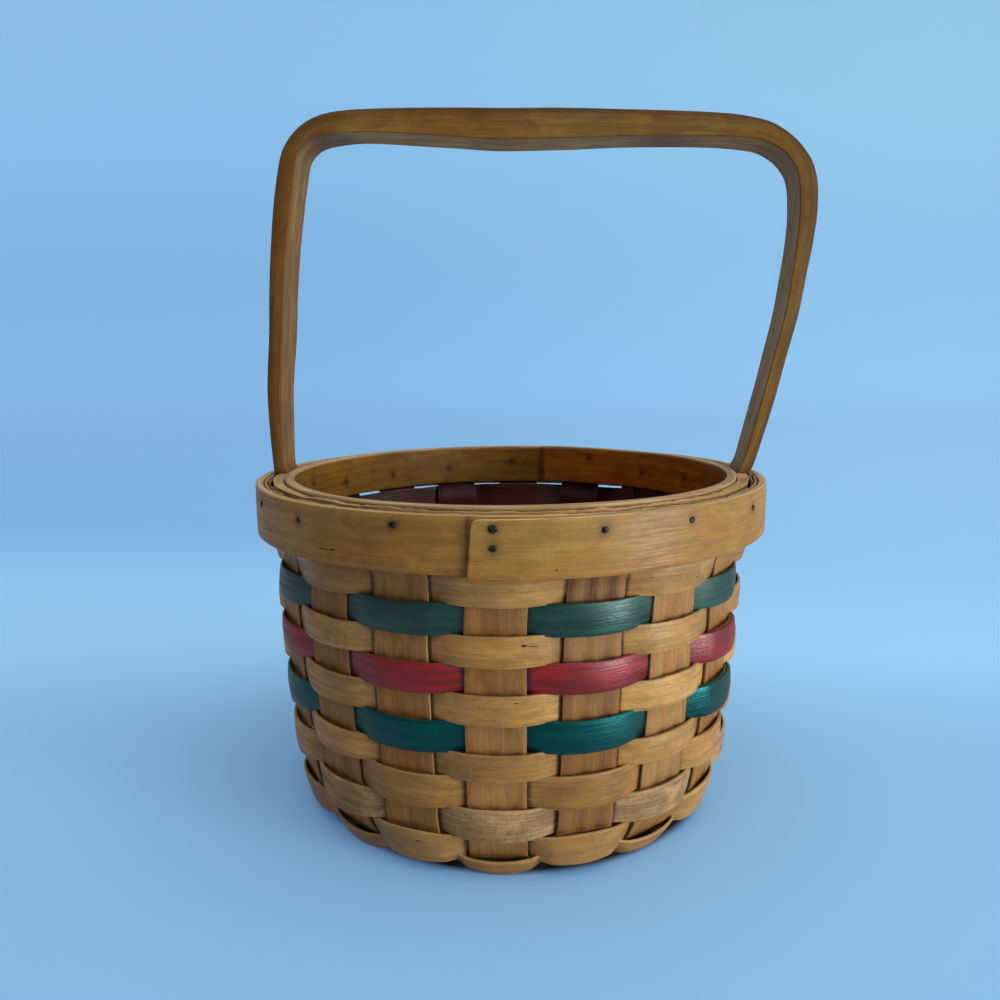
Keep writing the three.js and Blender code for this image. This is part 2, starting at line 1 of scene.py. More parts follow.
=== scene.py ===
# %% [markdown]
# # A woven splint basket, dressed for its picture
#
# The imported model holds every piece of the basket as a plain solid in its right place. This
# lesson keeps those places and makes what the eye looks for in a basket: splints that bend
# softly over and under each other, rough cut edges, grain that runs along each piece, stain that
# lets the wood show through, and a handle worn smooth by hands.
#
# Nearly everything here is a thin strip of wood carried along a path. So the lesson first makes
# one good strip, and then needs only a path for each piece.

import bpy
import numpy as np
from mathutils import Matrix, Vector


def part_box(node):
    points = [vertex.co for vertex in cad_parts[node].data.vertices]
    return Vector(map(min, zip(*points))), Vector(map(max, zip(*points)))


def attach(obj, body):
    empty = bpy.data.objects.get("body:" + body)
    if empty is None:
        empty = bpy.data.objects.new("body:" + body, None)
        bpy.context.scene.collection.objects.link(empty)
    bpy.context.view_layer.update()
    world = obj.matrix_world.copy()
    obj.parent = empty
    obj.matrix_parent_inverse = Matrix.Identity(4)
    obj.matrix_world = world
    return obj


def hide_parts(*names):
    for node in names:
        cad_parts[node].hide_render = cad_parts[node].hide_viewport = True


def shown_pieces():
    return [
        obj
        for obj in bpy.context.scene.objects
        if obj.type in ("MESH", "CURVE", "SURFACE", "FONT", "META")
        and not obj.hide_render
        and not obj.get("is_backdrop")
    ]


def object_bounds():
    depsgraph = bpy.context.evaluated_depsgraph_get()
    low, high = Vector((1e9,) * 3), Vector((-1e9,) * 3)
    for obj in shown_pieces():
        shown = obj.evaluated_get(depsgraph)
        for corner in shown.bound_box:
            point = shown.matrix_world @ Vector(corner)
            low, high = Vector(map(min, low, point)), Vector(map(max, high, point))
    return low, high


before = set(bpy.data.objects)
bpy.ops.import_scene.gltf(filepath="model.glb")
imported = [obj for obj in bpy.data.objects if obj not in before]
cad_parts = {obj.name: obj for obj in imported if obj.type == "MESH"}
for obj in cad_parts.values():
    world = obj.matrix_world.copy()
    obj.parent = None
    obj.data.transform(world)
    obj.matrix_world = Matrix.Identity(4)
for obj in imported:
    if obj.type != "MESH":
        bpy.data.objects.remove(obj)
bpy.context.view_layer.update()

# %% [markdown]
# ## Sizes of the basket
#
# All sizes are in millimetres, as a basket maker would measure them, and become metres only when
# a mesh is made. They repeat the model's own values, because a strip that should lie on its
# neighbour has to start from the same numbers. Angles go round the basket's upright axis from the
# front towards the right.

# %% Sizes
RIM_HEIGHT = 126.2
RIM_RADIUS = 100.0
OVAL = 0.988  # the basket is a little narrower between the feet of its handle

FRONT_STRIPS, SIDE_STRIPS = 5, 4
UPRIGHTS = 2 * (FRONT_STRIPS + SIDE_STRIPS)
PITCH = 2 * np.pi / UPRIGHTS
UPRIGHT_WIDTH, UPRIGHT_THICK = 19.6, 0.9
WEAVER_THICK = 1.0
CROSSING_GAP, FIT_GAP, LAP_GAP = 0.35, 0.3, 0.35
STRIP_GAP, ROW_GAP = 2.1, 0.12
STRIP_PITCH = UPRIGHT_WIDTH + STRIP_GAP
BASE_WAVE = (UPRIGHT_THICK + CROSSING_GAP) / 2
BASE_LEVEL = UPRIGHT_THICK / 2 + BASE_WAVE

OUTER_HOOP_HEIGHT, OUTER_HOOP_THICK, OUTER_HOOP_END = 18.3, 2.8, np.radians(-4.6)
INNER_HOOP_HEIGHT, INNER_HOOP_THICK, INNER_HOOP_END = 17.6, 3.5, np.radians(173.0)
INNER_HOOP_RISE = 1.4
LAP_LENGTH, LAP_TIP, LAP_START, LAP_SETTLE = 38.0, 0.9, 1.9, 30.0
FILLER_THICK = 0.9
UPRIGHT_TOP_DROP = 1.6
FOOT_WIDTH, FOOT_THICK, FOOT_INSERT = 16.0, 4.4, 11.4

# Layers of the rim from the outside in, each clear of the flat facets of the one outside it
FACET = np.cos(np.pi / (3 * UPRIGHTS))
HOOP_INNER = RIM_RADIUS - OUTER_HOOP_THICK
FILLER_OUTER = HOOP_INNER * FACET - FIT_GAP
UPRIGHT_RIM = (FILLER_OUTER - FILLER_THICK) * FACET - FIT_GAP


def plate_distance(edge_radius):
    """Distance from the axis to a flat plate whose two edges lie on a circle: the circle's radius
    is the long side of a right triangle, and half the plate's width a short one."""
    return np.sqrt(edge_radius**2 - (UPRIGHT_WIDTH / 2) ** 2)


UPRIGHT_RIM_INNER = plate_distance(UPRIGHT_RIM - UPRIGHT_THICK / 2) - UPRIGHT_THICK / 2
INNER_FILLER_OUTER = UPRIGHT_RIM_INNER - FIT_GAP
INNER_FILLER_INNER = INNER_FILLER_OUTER - FILLER_THICK
INNER_FRONT = INNER_FILLER_INNER * FACET - FIT_GAP
FOOT_OUTER = (INNER_FILLER_OUTER - FOOT_WIDTH / 2 * np.sin(PITCH / 2)) / np.cos(PITCH / 2)
INNER_SIDE = FOOT_OUTER - FOOT_THICK - FIT_GAP
rim_layers = [FILLER_OUTER, UPRIGHT_RIM, INNER_FRONT, FOOT_OUTER]
print("rim layers, mm:", np.round(rim_layers, 2))

# %% [markdown]
# ## The wall's profile
#
# Seen from the side, the wall tapers gently, turns in at its foot like a quarter of an ellipse and
# leans out at its top to reach the hoops. The row edges are laid off along this line, so every
# weaver and every upright can be placed by how far down the wall it lies.

# %% The wall's profile
WALL_INSET = 9  # of the wall's top from the outer hoop's face
TAPER, TAPER_POWER = 7.8, 2.2
FOOT_TURN_HEIGHT, FOOT_TURN_DEPTH = 22.2, 12.05
LEAN_DROP, LEAN_HEIGHT = 25.2, 13


def smooth(t):
    """The S-shaped step: three times the square less two times the cube, held between 0 and 1."""
    s = np.clip(t, 0, 1)
    return s * s * (3 - 2 * s)


def wall_radius(height):
    """Radius of the wall: the top's, less a taper that grows as a power of the way down, less the
    turned-in ellipse at the foot, plus the lean at the top."""
    wall_top = RIM_HEIGHT - OUTER_HOOP_HEIGHT
    top_radius = RIM_RADIUS - WALL_INSET
    taper = TAPER * np.maximum(0, (wall_top - height) / wall_top) ** TAPER_POWER
    turn = np.clip((BASE_LEVEL + FOOT_TURN_HEIGHT - height) / FOOT_TURN_HEIGHT, 0, 1)
    turned_in = FOOT_TURN_DEPTH * (1 - np.sqrt(1 - turn**2))
    lean = (UPRIGHT_RIM - top_radius) * smooth((height - RIM_HEIGHT + LEAN_DROP) / LEAN_HEIGHT)
    return top_radius - UPRIGHT_THICK / 2 - taper - turned_in + lean


upright_top = RIM_HEIGHT - UPRIGHT_TOP_DROP
quarter_turn = np.linspace(0, np.pi / 2, 401)
chain_height = upright_top - (upright_top - BASE_LEVEL) * np.sin(quarter_turn)
chain_radius = wall_radius(chain_height)
chain_walked = np.append(0, np.cumsum(np.hypot(np.diff(chain_radius), np.diff(chain_height))))
print("wall, mm:", round(chain_walked[-1], 1), "long from its top to the base")

# %% The row edges
ROW_SHARES = np.array([0.98, 1.01, 0.93, 0.98, 0.97, 1.05, 0.88, 1.09, 1.06, 1.1, 0.6])
FIRST_ROW_DROP, LAST_ROW_LIFT = 19.6, 6.1

first_row = np.interp(-(RIM_HEIGHT - FIRST_ROW_DROP), -chain_height, chain_walked)
rows_length = chain_walked[-1] - LAST_ROW_LIFT - first_row
row_walked = first_row + np.append(0, np.cumsum(ROW_SHARES)) * rows_length / ROW_SHARES.sum()
row_radius = np.interp(row_walked, chain_walked, chain_radius)
row_height = np.interp(row_walked, chain_walked, chain_height)
print("row edges at heights, mm:", np.round(row_height, 1))

# %% [markdown]
# ## From the basket's axis to the frame
#
# The frame's origin is the middle of the whole footprint, and the handle leans out to one side,
# so the basket's axis stands a little off it. The two nails through the handle's feet lie opposite
# each other, and the axis is midway between them, which makes it easy to measure.

# %% Placing points in the frame
right_low, right_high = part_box("nail_handle_right")
left_low, left_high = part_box("nail_handle_left")
AXIS = np.array([(right_high.x + left_low.x) / 2, (right_low.y + right_high.y) / 2, 0])
WALL_SLIP, SLIP_DROP, SLIP_HEIGHT = 1.0, 17, 25
print("basket axis, mm:", np.round(AXIS * 1000, 2))


def polar(angle, radius, height):
    """A point at an angle round the axis: the sine times the radius to the right, the cosine
    times the radius to the front."""
    angle, radius, height = np.broadcast_arrays(angle, radius, height)
    return np.stack([radius * np.sin(angle), -radius * np.cos(angle), height], -1)


def sideways_at(angle):
    """The level direction along the wall at an angle: its cosine to the right, its sine back."""
    return np.array([np.cos(angle), np.sin(angle), 0])


def in_frame(points):
    """Millimetres about the axis to metres in the frame: squeeze across by the oval's share,
    divide by a thousand and move by the axis. Below the rim the hand-woven wall stands one
    millimetre to the left, which an S-shaped step brings in."""
    points = np.asarray(points, float)
    slip = -WALL_SLIP * smooth((RIM_HEIGHT - SLIP_DROP - points[..., 2:3]) / SLIP_HEIGHT)
    return (points * [OVAL, 1, 1] + slip * [1, 0, 0]) / 1000 + AXIS


def unit(vectors):
    """Each vector divided by its own length."""
    return vectors / np.linalg.norm(vectors, axis=1, keepdims=True)


def walk_along(line):
    """Distance walked to each point of a line: the running sum of its steps' lengths."""
    return np.append(0, np.cumsum(np.linalg.norm(np.diff(line, axis=0), axis=1)))


def bell(distance):
    """The bell curve: e to the power of minus the squared distance."""
    return np.exp(-(distance**2))


# %% [markdown]
# ## Noise that is the same every time
#
# Hand-made things are never quite even. A row of random numbers with smooth steps between them
# gives a wander along a strip: numbers far apart make a slow wave, numbers close together make the
# rough edge of split wood. The seed is fixed, so each run makes the same basket.

# %% Wander along a line
random = np.random.default_rng(7)


def wander(along, step, amount):
    """Smooth noise along a line: random numbers between -1 and 1 at every step, joined by
    S-shaped steps, times the amount."""
    place = (along - along.min()) / step
    knots = random.uniform(-1, 1, int(place.max()) + 3)
    whole = place.astype(int)
    risen = (knots[whole + 1] - knots[whole]) * smooth(place - whole)
    return amount * (knots[whole] + risen)


def edge_wander(along, side, first, second):
    """A wander of its own for each edge of a strip: the first step and amount where the side is
    above zero, and the second pair elsewhere."""
    return np.where(side > 0, wander(along, *first), wander(along, *second))


print("wander is ready, with a seed that never changes")

# %% [markdown]
# ## One good strip
#
# A strip's section is a long rectangle with slightly rounded corners. Its loop of points is
# described by two numbers, across the strip and through its thickness. Each piece carries two
# things besides its shape: where every point lies in the straight piece of wood that it was bent
# from, which steers the grain, and its stain, painted shade and tint there.

# %% Section of a strip


def section(width, thick, round_radius, across_count=9, corner_count=3):
    """A rounded rectangle as two rows of numbers, across and through: straight runs along both
    faces, and a quarter circle at each of the four corners."""
    a, d = width / 2 - round_radius, thick / 2 - round_radius
    run = np.linspace(-1, 1, across_count)[1:-1] * a
    turn = np.linspace(0, np.pi / 2, corner_count)
    across, through = [], []
    for quarter, (ca, cd) in enumerate([(a, d), (-a, d), (-a, -d), (a, -d)]):
        across.append(ca + round_radius * np.cos(turn + quarter * np.pi / 2))
        through.append(cd + round_radius * np.sin(turn + quarter * np.pi / 2))
        if quarter % 2 == 0:
            across.append(-np.sign(ca) * run)
            through.append(np.full(len(run), np.sign(cd) * thick / 2))
    return np.concatenate(across)[None, :], np.concatenate(through)[None, :]


def on_cut_edge(across):
    """Where a splint shows the pale wood of its cut edge: within 0.08 mm of its full width."""
    return np.abs(across) > across.max() - 0.08


print("points round an upright's section:", section(UPRIGHT_WIDTH, UPRIGHT_THICK, 0.16, 13)[0].size)

# %% Mesh of a strip
SHARP_ANGLE = np.radians(40)


def make_strip(name, points, grain, tone, nodes):
    """A mesh from loops of points: each loop is joined to the next by quads, and a flat face
    closes each end. Faces are turned outwards when the summed volume is negative."""
    stations, around = points.shape[:2]
    place = in_frame(points).reshape(-1, 3)
    row_start = np.arange(stations - 1)[:, None] * around
    first = row_start + np.arange(around)[None, :]
    second = row_start + (np.arange(around)[None, :] + 1) % around
    quads = np.stack([first, first + around, second + around, second], -1).reshape(-1, 4)
    last_loop = range(stations * around - 1, (stations - 1) * around - 1, -1)
    faces = quads.tolist() + [list(range(around)), list(last_loop)]
    corners = place[quads]
    crossed = [np.cross(corners[:, k], corners[:, k + 1]) for k in (1, 2)]
    if sum(np.einsum("ij,ij->i", corners[:, 0], each).sum() for each in crossed) < 0:
        faces = [face[::-1] for face in faces]
    mesh = bpy.data.meshes.new(name)
    mesh.from_pydata(place.tolist(), [], faces)
    mesh.polygons.foreach_set("use_smooth", np.ones(len(faces), bool))
    for label, values in (("grain", np.asarray(grain) / 1000), ("tone", tone)):
        data = mesh.attributes.new(label, "FLOAT_VECTOR", "POINT").data
        data.foreach_set("vector", np.broadcast_to(values, points.shape).astype(np.float32).ravel())
    mesh.set_sharp_from_angle(angle=SHARP_ANGLE)
    piece = bpy.data.objects.new(name, mesh)
    bpy.context.scene.collection.objects.link(piece)
    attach(piece, "root")
    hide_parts(*nodes)
    return piece


def grain_of(along, across, through, start):
    """Where each point lies in the straight splint: its length along from a start of its own, its
    place across and its place through, all in millimetres."""
    return np.stack(np.broadcast_arrays(along + start, across + start / 7, through), -1)


def tone_of(stain, tint, inner_side):
    """The wood's tone at each point, side by side: its stain and painted shade, or a pale cut edge
    where that is below zero, its tint from -1 to 1, and a mask for the colour of the side that
    faces into the basket: painted shade on the splints, painted bounce light on the handle and
    redder wood on the inner hoop."""
    return np.stack(np.broadcast_arrays(stain, tint, inner_side), -1)


print("edges stay sharp from", round(np.degrees(SHARP_ANGLE)), "degrees")

# %% [markdown]
# ## The weavers
#
# Over an upright a weaver is a shallow arch, and under one the same arch turned round. Between two
# uprights it has only a few millimetres to change sides. An arch and a cubic curve for the change
# meet with the same slope, so the strip looks bent and not creased. Each row's end runs on over
# its own start, and both ends hide behind uprights, as basket makers leave them.

# %% How a weaver moves in and out
ARCH = 0.75


def weave(place, edge):
    """Offset from the wall at a place counted in uprights: an arch above each plate's width, and
    between the plates a cubic from one side to the other with the arch's slope at both ends. The
    sign turns at every upright."""
    nearest = np.round(place)
    away = np.abs(place - nearest)
    clear = (UPRIGHT_THICK + WEAVER_THICK) / 2 + CROSSING_GAP
    over_plate = clear + ARCH * (1 - (away / edge) ** 2)
    u = (away - edge) / (1 - 2 * edge)
    arch_slope = (1 - 2 * edge) * (2 * ARCH / edge)
    change = clear * (1 - 2 * smooth(u)) - arch_slope * u * (1 - u) * (1 - 2 * u)
    return np.where(nearest % 2 == 0, 1, -1) * np.where(away <= edge, over_plate, change)


def at_crossings(crossings, values):
    """One value for each upright, held over the plate's width and led smoothly to the next one's
    in the gap. The crossings are the row's places, the plates' half widths and the number of the
    row's first upright."""
    place, edge, first = crossings
    nearest = np.round(place)
    away = place - nearest
    u = smooth(np.clip((np.abs(away) - edge) / (1 - 2 * edge), 0, 0.5))
    here = np.clip(nearest.astype(int) - first, 0, len(values) - 1)
    there = np.clip(here + np.sign(away).astype(int), 0, len(values) - 1)
    return values[here] * (1 - u) + values[there] * u


arch_top = weave(np.array(0.0), np.array(0.3))
print("a weaver's middle stands off the wall by up to", round(float(arch_top), 2), "mm")

# %% [markdown]
# No two rows are alike. Each has its own wood and the upright behind which its ends are hidden.
# Towards the foot the wall turns in, and the stiff weavers won't follow it, so the lower rows
# flare, sag and drop more and more. The dyed rows are cupped more deeply than the others.

# %% What the hand changes in a row
ROW_WOODS = "natural green_grey natural red natural teal natural natural pale natural natural".split()
ROW_LAPS = [8, 9, 10, 3, 12, 3, 6, 11, 8, 7, 10]
ROW_FLARES = [0, 0, 0, 0, 0, 0.05, 0.15, 0.35, 0.8, 1.7, 1.8]
ROW_SAGS = [0.1, 0.1, 0.15, 0.15, 0.2, 0.2, 0.3, 0.4, 0.6, 1.0, 0]
ROW_DROPS = [0, 0, 0, 0, 0, 0, 0, 0.1, 0.4, 1.5, 0.4]
ROW_TINTS = [0, 0, -0.4, 0, 0.5, 0, 0, -0.6, 0, 0, 0]
FIRST_ROW, LAST_ROW = 0, len(ROW_WOODS) - 1
DYED_CUP, PLAIN_CUP = 0.5, 0.28


def hand_work(row, crossings, count):
    """What the hand changes at each crossing of a row. Arches over an upright are lifted and leant
    by random amounts and get the row's flare and sag, every part is a little wider than its row,
    and where the ends lap they lie one thickness further in or out."""
    over = (np.arange(crossings[2], crossings[2] + count) + row) % 2 == 0
    lift, lean = random.uniform(-0.12, 0.12, count), random.uniform(-0.18, 0.22, count)
    wide = np.where(over, 0.32, 0.28) + random.uniform(-0.08, 0.1, count)
    layer = np.zeros(count)
    layer[[0, 2]], layer[-2] = -(WEAVER_THICK + LAP_GAP), WEAVER_THICK + LAP_GAP
    arches = [np.where(over, value, 0) for value in (lift, lean, ROW_FLARES[row], ROW_SAGS[row])]
    return [at_crossings(crossings, values) for values in (*arches, wide, layer)]


def row_fit(row, place, share, swell):
    """How far the upper edge of the first and the last row is raised: the first rises towards the
    back and once more in a bell shape at the back right, the last fills up to its neighbour."""
    if row == FIRST_ROW:
        angle = place * PITCH
        spot = 1.6 * (1 - share) * bell(np.sin((angle - np.radians(129)) / 2) / 0.1)
        return 1.3 * (1 - share) * (1 - np.cos(angle)) / 2, spot
    if row == LAST_ROW:
        return (0.8 + 0.8 * (1 - swell)) * (1 - share), 0
    return 0, 0


def weaver_tone(row, crossings, across, through, radius, tint):
    """Tone of a weaver: painted shade makes a dark line beside the upright that it dives behind,
    wide to 1.6 mm and faint to 3.5 mm, and the cut edges are pale."""
    place, edge, _ = crossings
    past_plate = (np.abs(place - np.round(place)) - edge.mean()) * PITCH * radius
    # Painted shade: dark where the weaver dives behind an upright
    dive_shade = smooth((1.6 - past_plate) / 0.8) + 0.2 * smooth(1 - past_plate / 3.5)
    dive_shade = np.where((np.round(place) + row) % 2 == 1, dive_shade, 0.0)
    cut_edge = on_cut_edge(across)
    stain = np.where(cut_edge, -0.55, dive_shade * (through > 0))
    return tone_of(stain, tint, (through < 0.3) & ~cut_edge)


print("rows:", len(ROW_WOODS), "in these woods:", sorted(set(ROW_WOODS)))

# %% Weavers
WEAVER_START = 731  # each weaver's grain starts this much further along than the one above
POINTS_PER_UPRIGHT = 40
LOWEST = 0.03  # nothing reaches under the floor

weavers = []
for row in range(len(ROW_WOODS)):
    first, last = ROW_LAPS[row] - 1, ROW_LAPS[row] + 1 + UPRIGHTS
    upper = np.array([row_radius[row], row_height[row]])
    down = np.array([row_radius[row + 1], row_height[row + 1]]) - upper
    slant = np.hypot(*down)
    down, out = down / slant, np.array([-down[1], down[0]]) / slant
    across, through = section(slant - ROW_GAP, WEAVER_THICK, 0.2)
    place = np.linspace(first, last, POINTS_PER_UPRIGHT * (last - first))[:, None]
    below = slant / 2 - across
    radius = upper[0] + down[0] * below
    edge = np.arcsin(UPRIGHT_WIDTH / 2 / radius) / PITCH
    crossings = place, edge, first
    count = last - first + 1

    # Down the wall: the row's share, what the hand changes, and the roughness of both edges
    lifted, leaning, flare, sag, wide, layered = hand_work(row, crossings, count)
    swell = 1 - ((place - np.round(place)) / 0.5) ** 2
    share = below / slant
    spread = (share - 0.5) * 2
    rough = edge_wander(place, -spread, (0.03, 0.07), (0.025, 0.09))
    rough = rough + edge_wander(place, -spread, (0.3, 0.1), (0.4, 0.1))
    below = below + lifted + spread * wide + rough * np.abs(spread) ** 3
    below = below + sag * swell * smooth(share * 1.6 - 0.6)
    for raised in row_fit(row, place, share, swell):
        below = below - raised

    # Out from the wall: the weave, the lap, the flare of the lower edge and a cupped face
    flared = 0.2 + 0.75 * share if row == LAST_ROW else np.clip(share, 0, 1)
    cup = PLAIN_CUP if ROW_WOODS[row] in ("natural", "pale") else DYED_CUP
    offset = weave(place + row, edge) + layered + flare * (0.4 + 0.75 * swell) * flared
    offset = offset + leaning * spread + cup * (1 - spread**2) + through
    height = upper[1] + down[1] * below + out[1] * offset - ROW_DROPS[row] * (1 - swell)
    reach = upper[0] + down[0] * below + out[0] * offset
    points = polar(place * PITCH, reach, np.maximum(LOWEST, height))

    tint = at_crossings(crossings, ROW_TINTS[row] + 0.8 * random.uniform(-1, 1, count))
    tone = weaver_tone(row, crossings, across, through, radius.mean(), tint)
    grain = grain_of(place * PITCH * radius.mean(), across, through, WEAVER_START * (row + 1))
    name, slot = f"weaver_{row + 1:02d}", ROW_WOODS[row] + "_splint"
    weavers.append(make_strip(name, points, grain, tone, [f"weaver_row_{row + 1}"]))
print("weavers:", len(weavers), "faces each:", len(weavers[0].data.polygons))

# %% [markdown]
# ## The base strips and uprights
#
# An upright and a base strip are the same piece of wood: it lies flat in the base, swings round
# until it heads straight out, bends up through the foot and stands against the wall. Following
# that one path keeps the grain unbroken. The stand of each strip above or below its neighbours in
# the base alternates like a chessboard.

# %% A strip in the base
SPACING = 0.7  # between the points along a strip


def half_base(side, place):
    """Middle line of half a strip in the base, from the middle outwards: flat under or over each
    crossing strip, on levels that alternate like a chessboard, with a smooth step in each gap."""
    along, beside = polar(side * np.pi / 2, 1.0, 0.0), sideways_at(side * np.pi / 2)
    others = SIDE_STRIPS if side % 2 == 0 else FRONT_STRIPS
    middles = np.arange(0.5 if others % 2 == 0 else 0.0, others / 2, 1.0)
    crossing = along[None, :] * middles[:, None] + beside * place
    from_corner = crossing[:, 0] + crossing[:, 1] + (FRONT_STRIPS + SIDE_STRIPS - 2) / 2
    levels = np.where(np.abs(np.round(from_corner)) % 2 == (side + 1) % 2, 1.0, -1.0)
    distance = np.arange(0, middles[-1] * STRIP_PITCH + UPRIGHT_WIDTH / 2, SPACING)
    level = np.full(len(distance), levels[0])
    for i, step in enumerate((middles[:-1] + middles[1:]) / 2 * STRIP_PITCH):
        level += (levels[i + 1] - levels[i]) * smooth((distance - step) / STRIP_GAP + 0.5)
    if middles[0] > 0:
        level *= smooth(distance / STRIP_GAP + 0.5) * 2 - 1
    base = along * distance[:, None] + beside * place * STRIP_PITCH
    base[:, 2] = BASE_LEVEL + level * BASE_WAVE
    return base


print("points in half a strip's base:", len(half_base(0, 0.0)))

# %% Half of a strip's path
OFF_WALL = chain_walked[-1] + 50  # stands for every place that isn't on the wall


def cubic(t, start, end, span, leaving, arriving):
    """The cubic curve between two points: the S-shaped mix of both, plus the span times each
    end's slope, which fades out towards the other end."""
    slopes = leaving * t * (1 - t) ** 2 - arriving * t * t * (1 - t)
    return start * (1 - smooth(t)) + end * smooth(t) + span * slopes


def half_strip(side, place):
    """Middle line of half a strip from the middle of the base outwards, its direction across, how
    far down the wall each point lies, and its upright's number. After the base a cubic with given
    headings at both ends leads to the wall, whose profile it follows to the top."""
    angle = side * np.pi / 2 + place * PITCH
    along, outward = polar(side * np.pi / 2, 1.0, 0.0), polar(angle, 1.0, 0.0)
    base = half_base(side, place)

    # The turn from the last crossing to the edge of the base
    start, end = base[-1], polar(angle, plate_distance(chain_radius[-1]), base[-1, 2])
    length = np.linalg.norm(end - start)
    t = np.linspace(0, 1, int(length / SPACING) + 2)[1:, None]
    fan = cubic(t, start, end, length, along, outward)
    turning = length * (along * (1 - t) * (1 - 3 * t) + outward * t * (3 * t - 2))
    heading = unit((end - start) * 6 * t * (1 - t) + turning)
    fan_across = np.stack([-heading[:, 1], heading[:, 0], 0 * heading[:, 0]], -1)

    # Up the wall, to a top that is cut a little unevenly
    walked = np.arange(chain_walked[-1] - SPACING, 0, -SPACING)
    walked = np.append(walked, [0, -random.uniform(0.7, 1.4)])
    height = np.interp(walked, chain_walked, chain_height) + np.maximum(0, -walked)
    wall = polar(angle, plate_distance(np.interp(walked, chain_walked, chain_radius)), height)
    settle = 1 - smooth((chain_walked[-1] - walked) / (chain_walked[-1] - row_walked[-1]))
    wall[:, 2] += settle * (base[-1, 2] - BASE_LEVEL)

    line = np.concatenate([base, fan, wall])
    beside, sideways = sideways_at(side * np.pi / 2), sideways_at(angle)
    across = [np.tile(beside, (len(base), 1)), fan_across, np.tile(sideways, (len(wall), 1))]
    on_wall = np.append(np.full(len(base) + len(fan), OFF_WALL), walked)
    return line, np.concatenate(across), on_wall, int(round(angle / PITCH)) % UPRIGHTS


print("a place off the wall counts as", round(OFF_WALL), "mm down it")

# %% [markdown]
# Where an upright shows in a window of the weave, the wood just above the next weaver and just
# below the weaver above is painted darker and browner as shade. That shade is worked out from the
# row edges. One upright, the first to the right of the front, was split from darker wood.

# %% Painted shade and darker wood on an upright
DARK_UPRIGHT = 1


def window_shade_and_dark_wood(walked, upright):
    """Painted shade on an upright: in each window where the weaver goes behind it, the shade rises
    as S-shaped steps towards the window's lower and upper edge. The dark upright is darker all
    over, and more so above the third row's upper edge."""
    stain = np.zeros(len(walked))
    for row in range(len(ROW_SHARES)):
        if (row + upright) % 2 == 1:
            share = (walked - row_walked[row]) / (row_walked[row + 1] - row_walked[row])
            lower = 0.3 * smooth((share - 0.6) / 0.4) + 0.6 * smooth((share - 0.9) / 0.08)
            upper = 0.6 * smooth((0.09 - share) / 0.09)
            stain += np.where((share > 0) & (share < 1.05), lower + upper, 0)
    if upright == DARK_UPRIGHT:
        stain += 0.55 + 0.6 * smooth((row_walked[2] - walked) / 6)
    return stain


print("most shade and dark wood on the dark upright:", round(window_shade_and_dark_wood(row_walked, DARK_UPRIGHT).max(), 2))

# %% Base strips with their uprights
STRIP_START = 977  # each strip's grain starts this much further along than the last one's
UNDERSIDE = 12  # in the base, a face that looks down counts as an outer one

STRIP_PLACES = [(0, i - 2.0, f"strip_front_back_{i + 1}") for i in range(FRONT_STRIPS)]
STRIP_PLACES += [(1, i - 1.5, f"strip_left_right_{i + 1}") for i in range(SIDE_STRIPS)]
strips = []
for number, (side, place, node_name) in enumerate(STRIP_PLACES):
    near, near_across, near_walked, near_upright = half_strip(side, place)
    far, far_across, far_walked, far_upright = half_strip(side + 2, -place)
    line = np.concatenate([near[:0:-1], far])
    direction = np.concatenate([near_across[:0:-1], -far_across])
    near_shade_and_dark_wood = window_shade_and_dark_wood(near_walked, near_upright)
    stain = np.append(near_shade_and_dark_wood[:0:-1], window_shade_and_dark_wood(far_walked, far_upright))[:, None]
    normal = unit(np.cross(direction, unit(np.gradient(line, axis=0))))
    walked = walk_along(line)[:, None]

    # The section, with rough edges and, on the wall, a slightly waved face
    across, through = section(UPRIGHT_WIDTH, UPRIGHT_THICK, 0.16, 13)
    spread = across / (UPRIGHT_WIDTH / 2)
    rough = edge_wander(walked, spread, (1.1, 0.06), (0.9, 0.06))
    rough = rough + edge_wander(walked, spread, (14, 0.1), (17, 0.1))
    sideways = (across + rough * np.abs(spread) ** 3 * np.sign(spread))[..., None]
    on_the_wall = smooth((line[:, 2:3] - 3) / 4)
    lift = (through + 0.03 * np.sin(spread * 5 + number) * on_the_wall)[..., None]
    points = line[:, None] + direction[:, None] * sideways + normal[:, None] * lift

    # Painted shade in the windows and the dark upright's own darker wood, varied across the strip;
    # pale cut edges
    cut_edge = on_cut_edge(across)
    stain = np.where(cut_edge, -0.5, stain * (0.6 + 0.3 * np.sin(across * 0.9 + number)))
    outwards = normal[:, 0] * line[:, 0] + normal[:, 1] * line[:, 1] - UNDERSIDE * normal[:, 2]
    inner_side = (outwards[:, None] * through < 0) & ~cut_edge
    tone = tone_of(stain, wander(walked, 45, 0.8), inner_side)
    grain = grain_of(walked, across, through, STRIP_START * (number + 1))
    name = f"base_strip_{number + 1}"
    strips.append(make_strip(name, points, grain, tone, [node_name]))
print("base strips:", len(strips), "faces each:", len(strips[0].data.polygons))

# %% [markdown]
# ## Where the nails are
#
# A small nail goes through the rim at every upright, driven by eye, so no two sit at quite the
# same height. Their places are needed before the nails themselves, because the wood of the hoops
# is stained dark round each one.

# %% Places of the nails
NAIL_DROPS = [
    0.78, 1.02, 0.98, 1.2, 1.05, 1.3, 1.63, 1.85, 0.74,
    1.35, 1.93, 2.1, 2.1, 1.4, 1.1, 1.04, 1.26, 0.75,
]  # in quarters of the hoop's height
NAIL_TURNS = [
    -0.02, -0.06, -0.14, -0.05, 0.06, -0.08, -0.15, -0.18, -0.2,
    0.1, 0.15, 0.18, 0.18, 0.1, -0.06, 0.03, -0.06, 0.09,
]  # in uprights
NAIL_RADIUS = 95

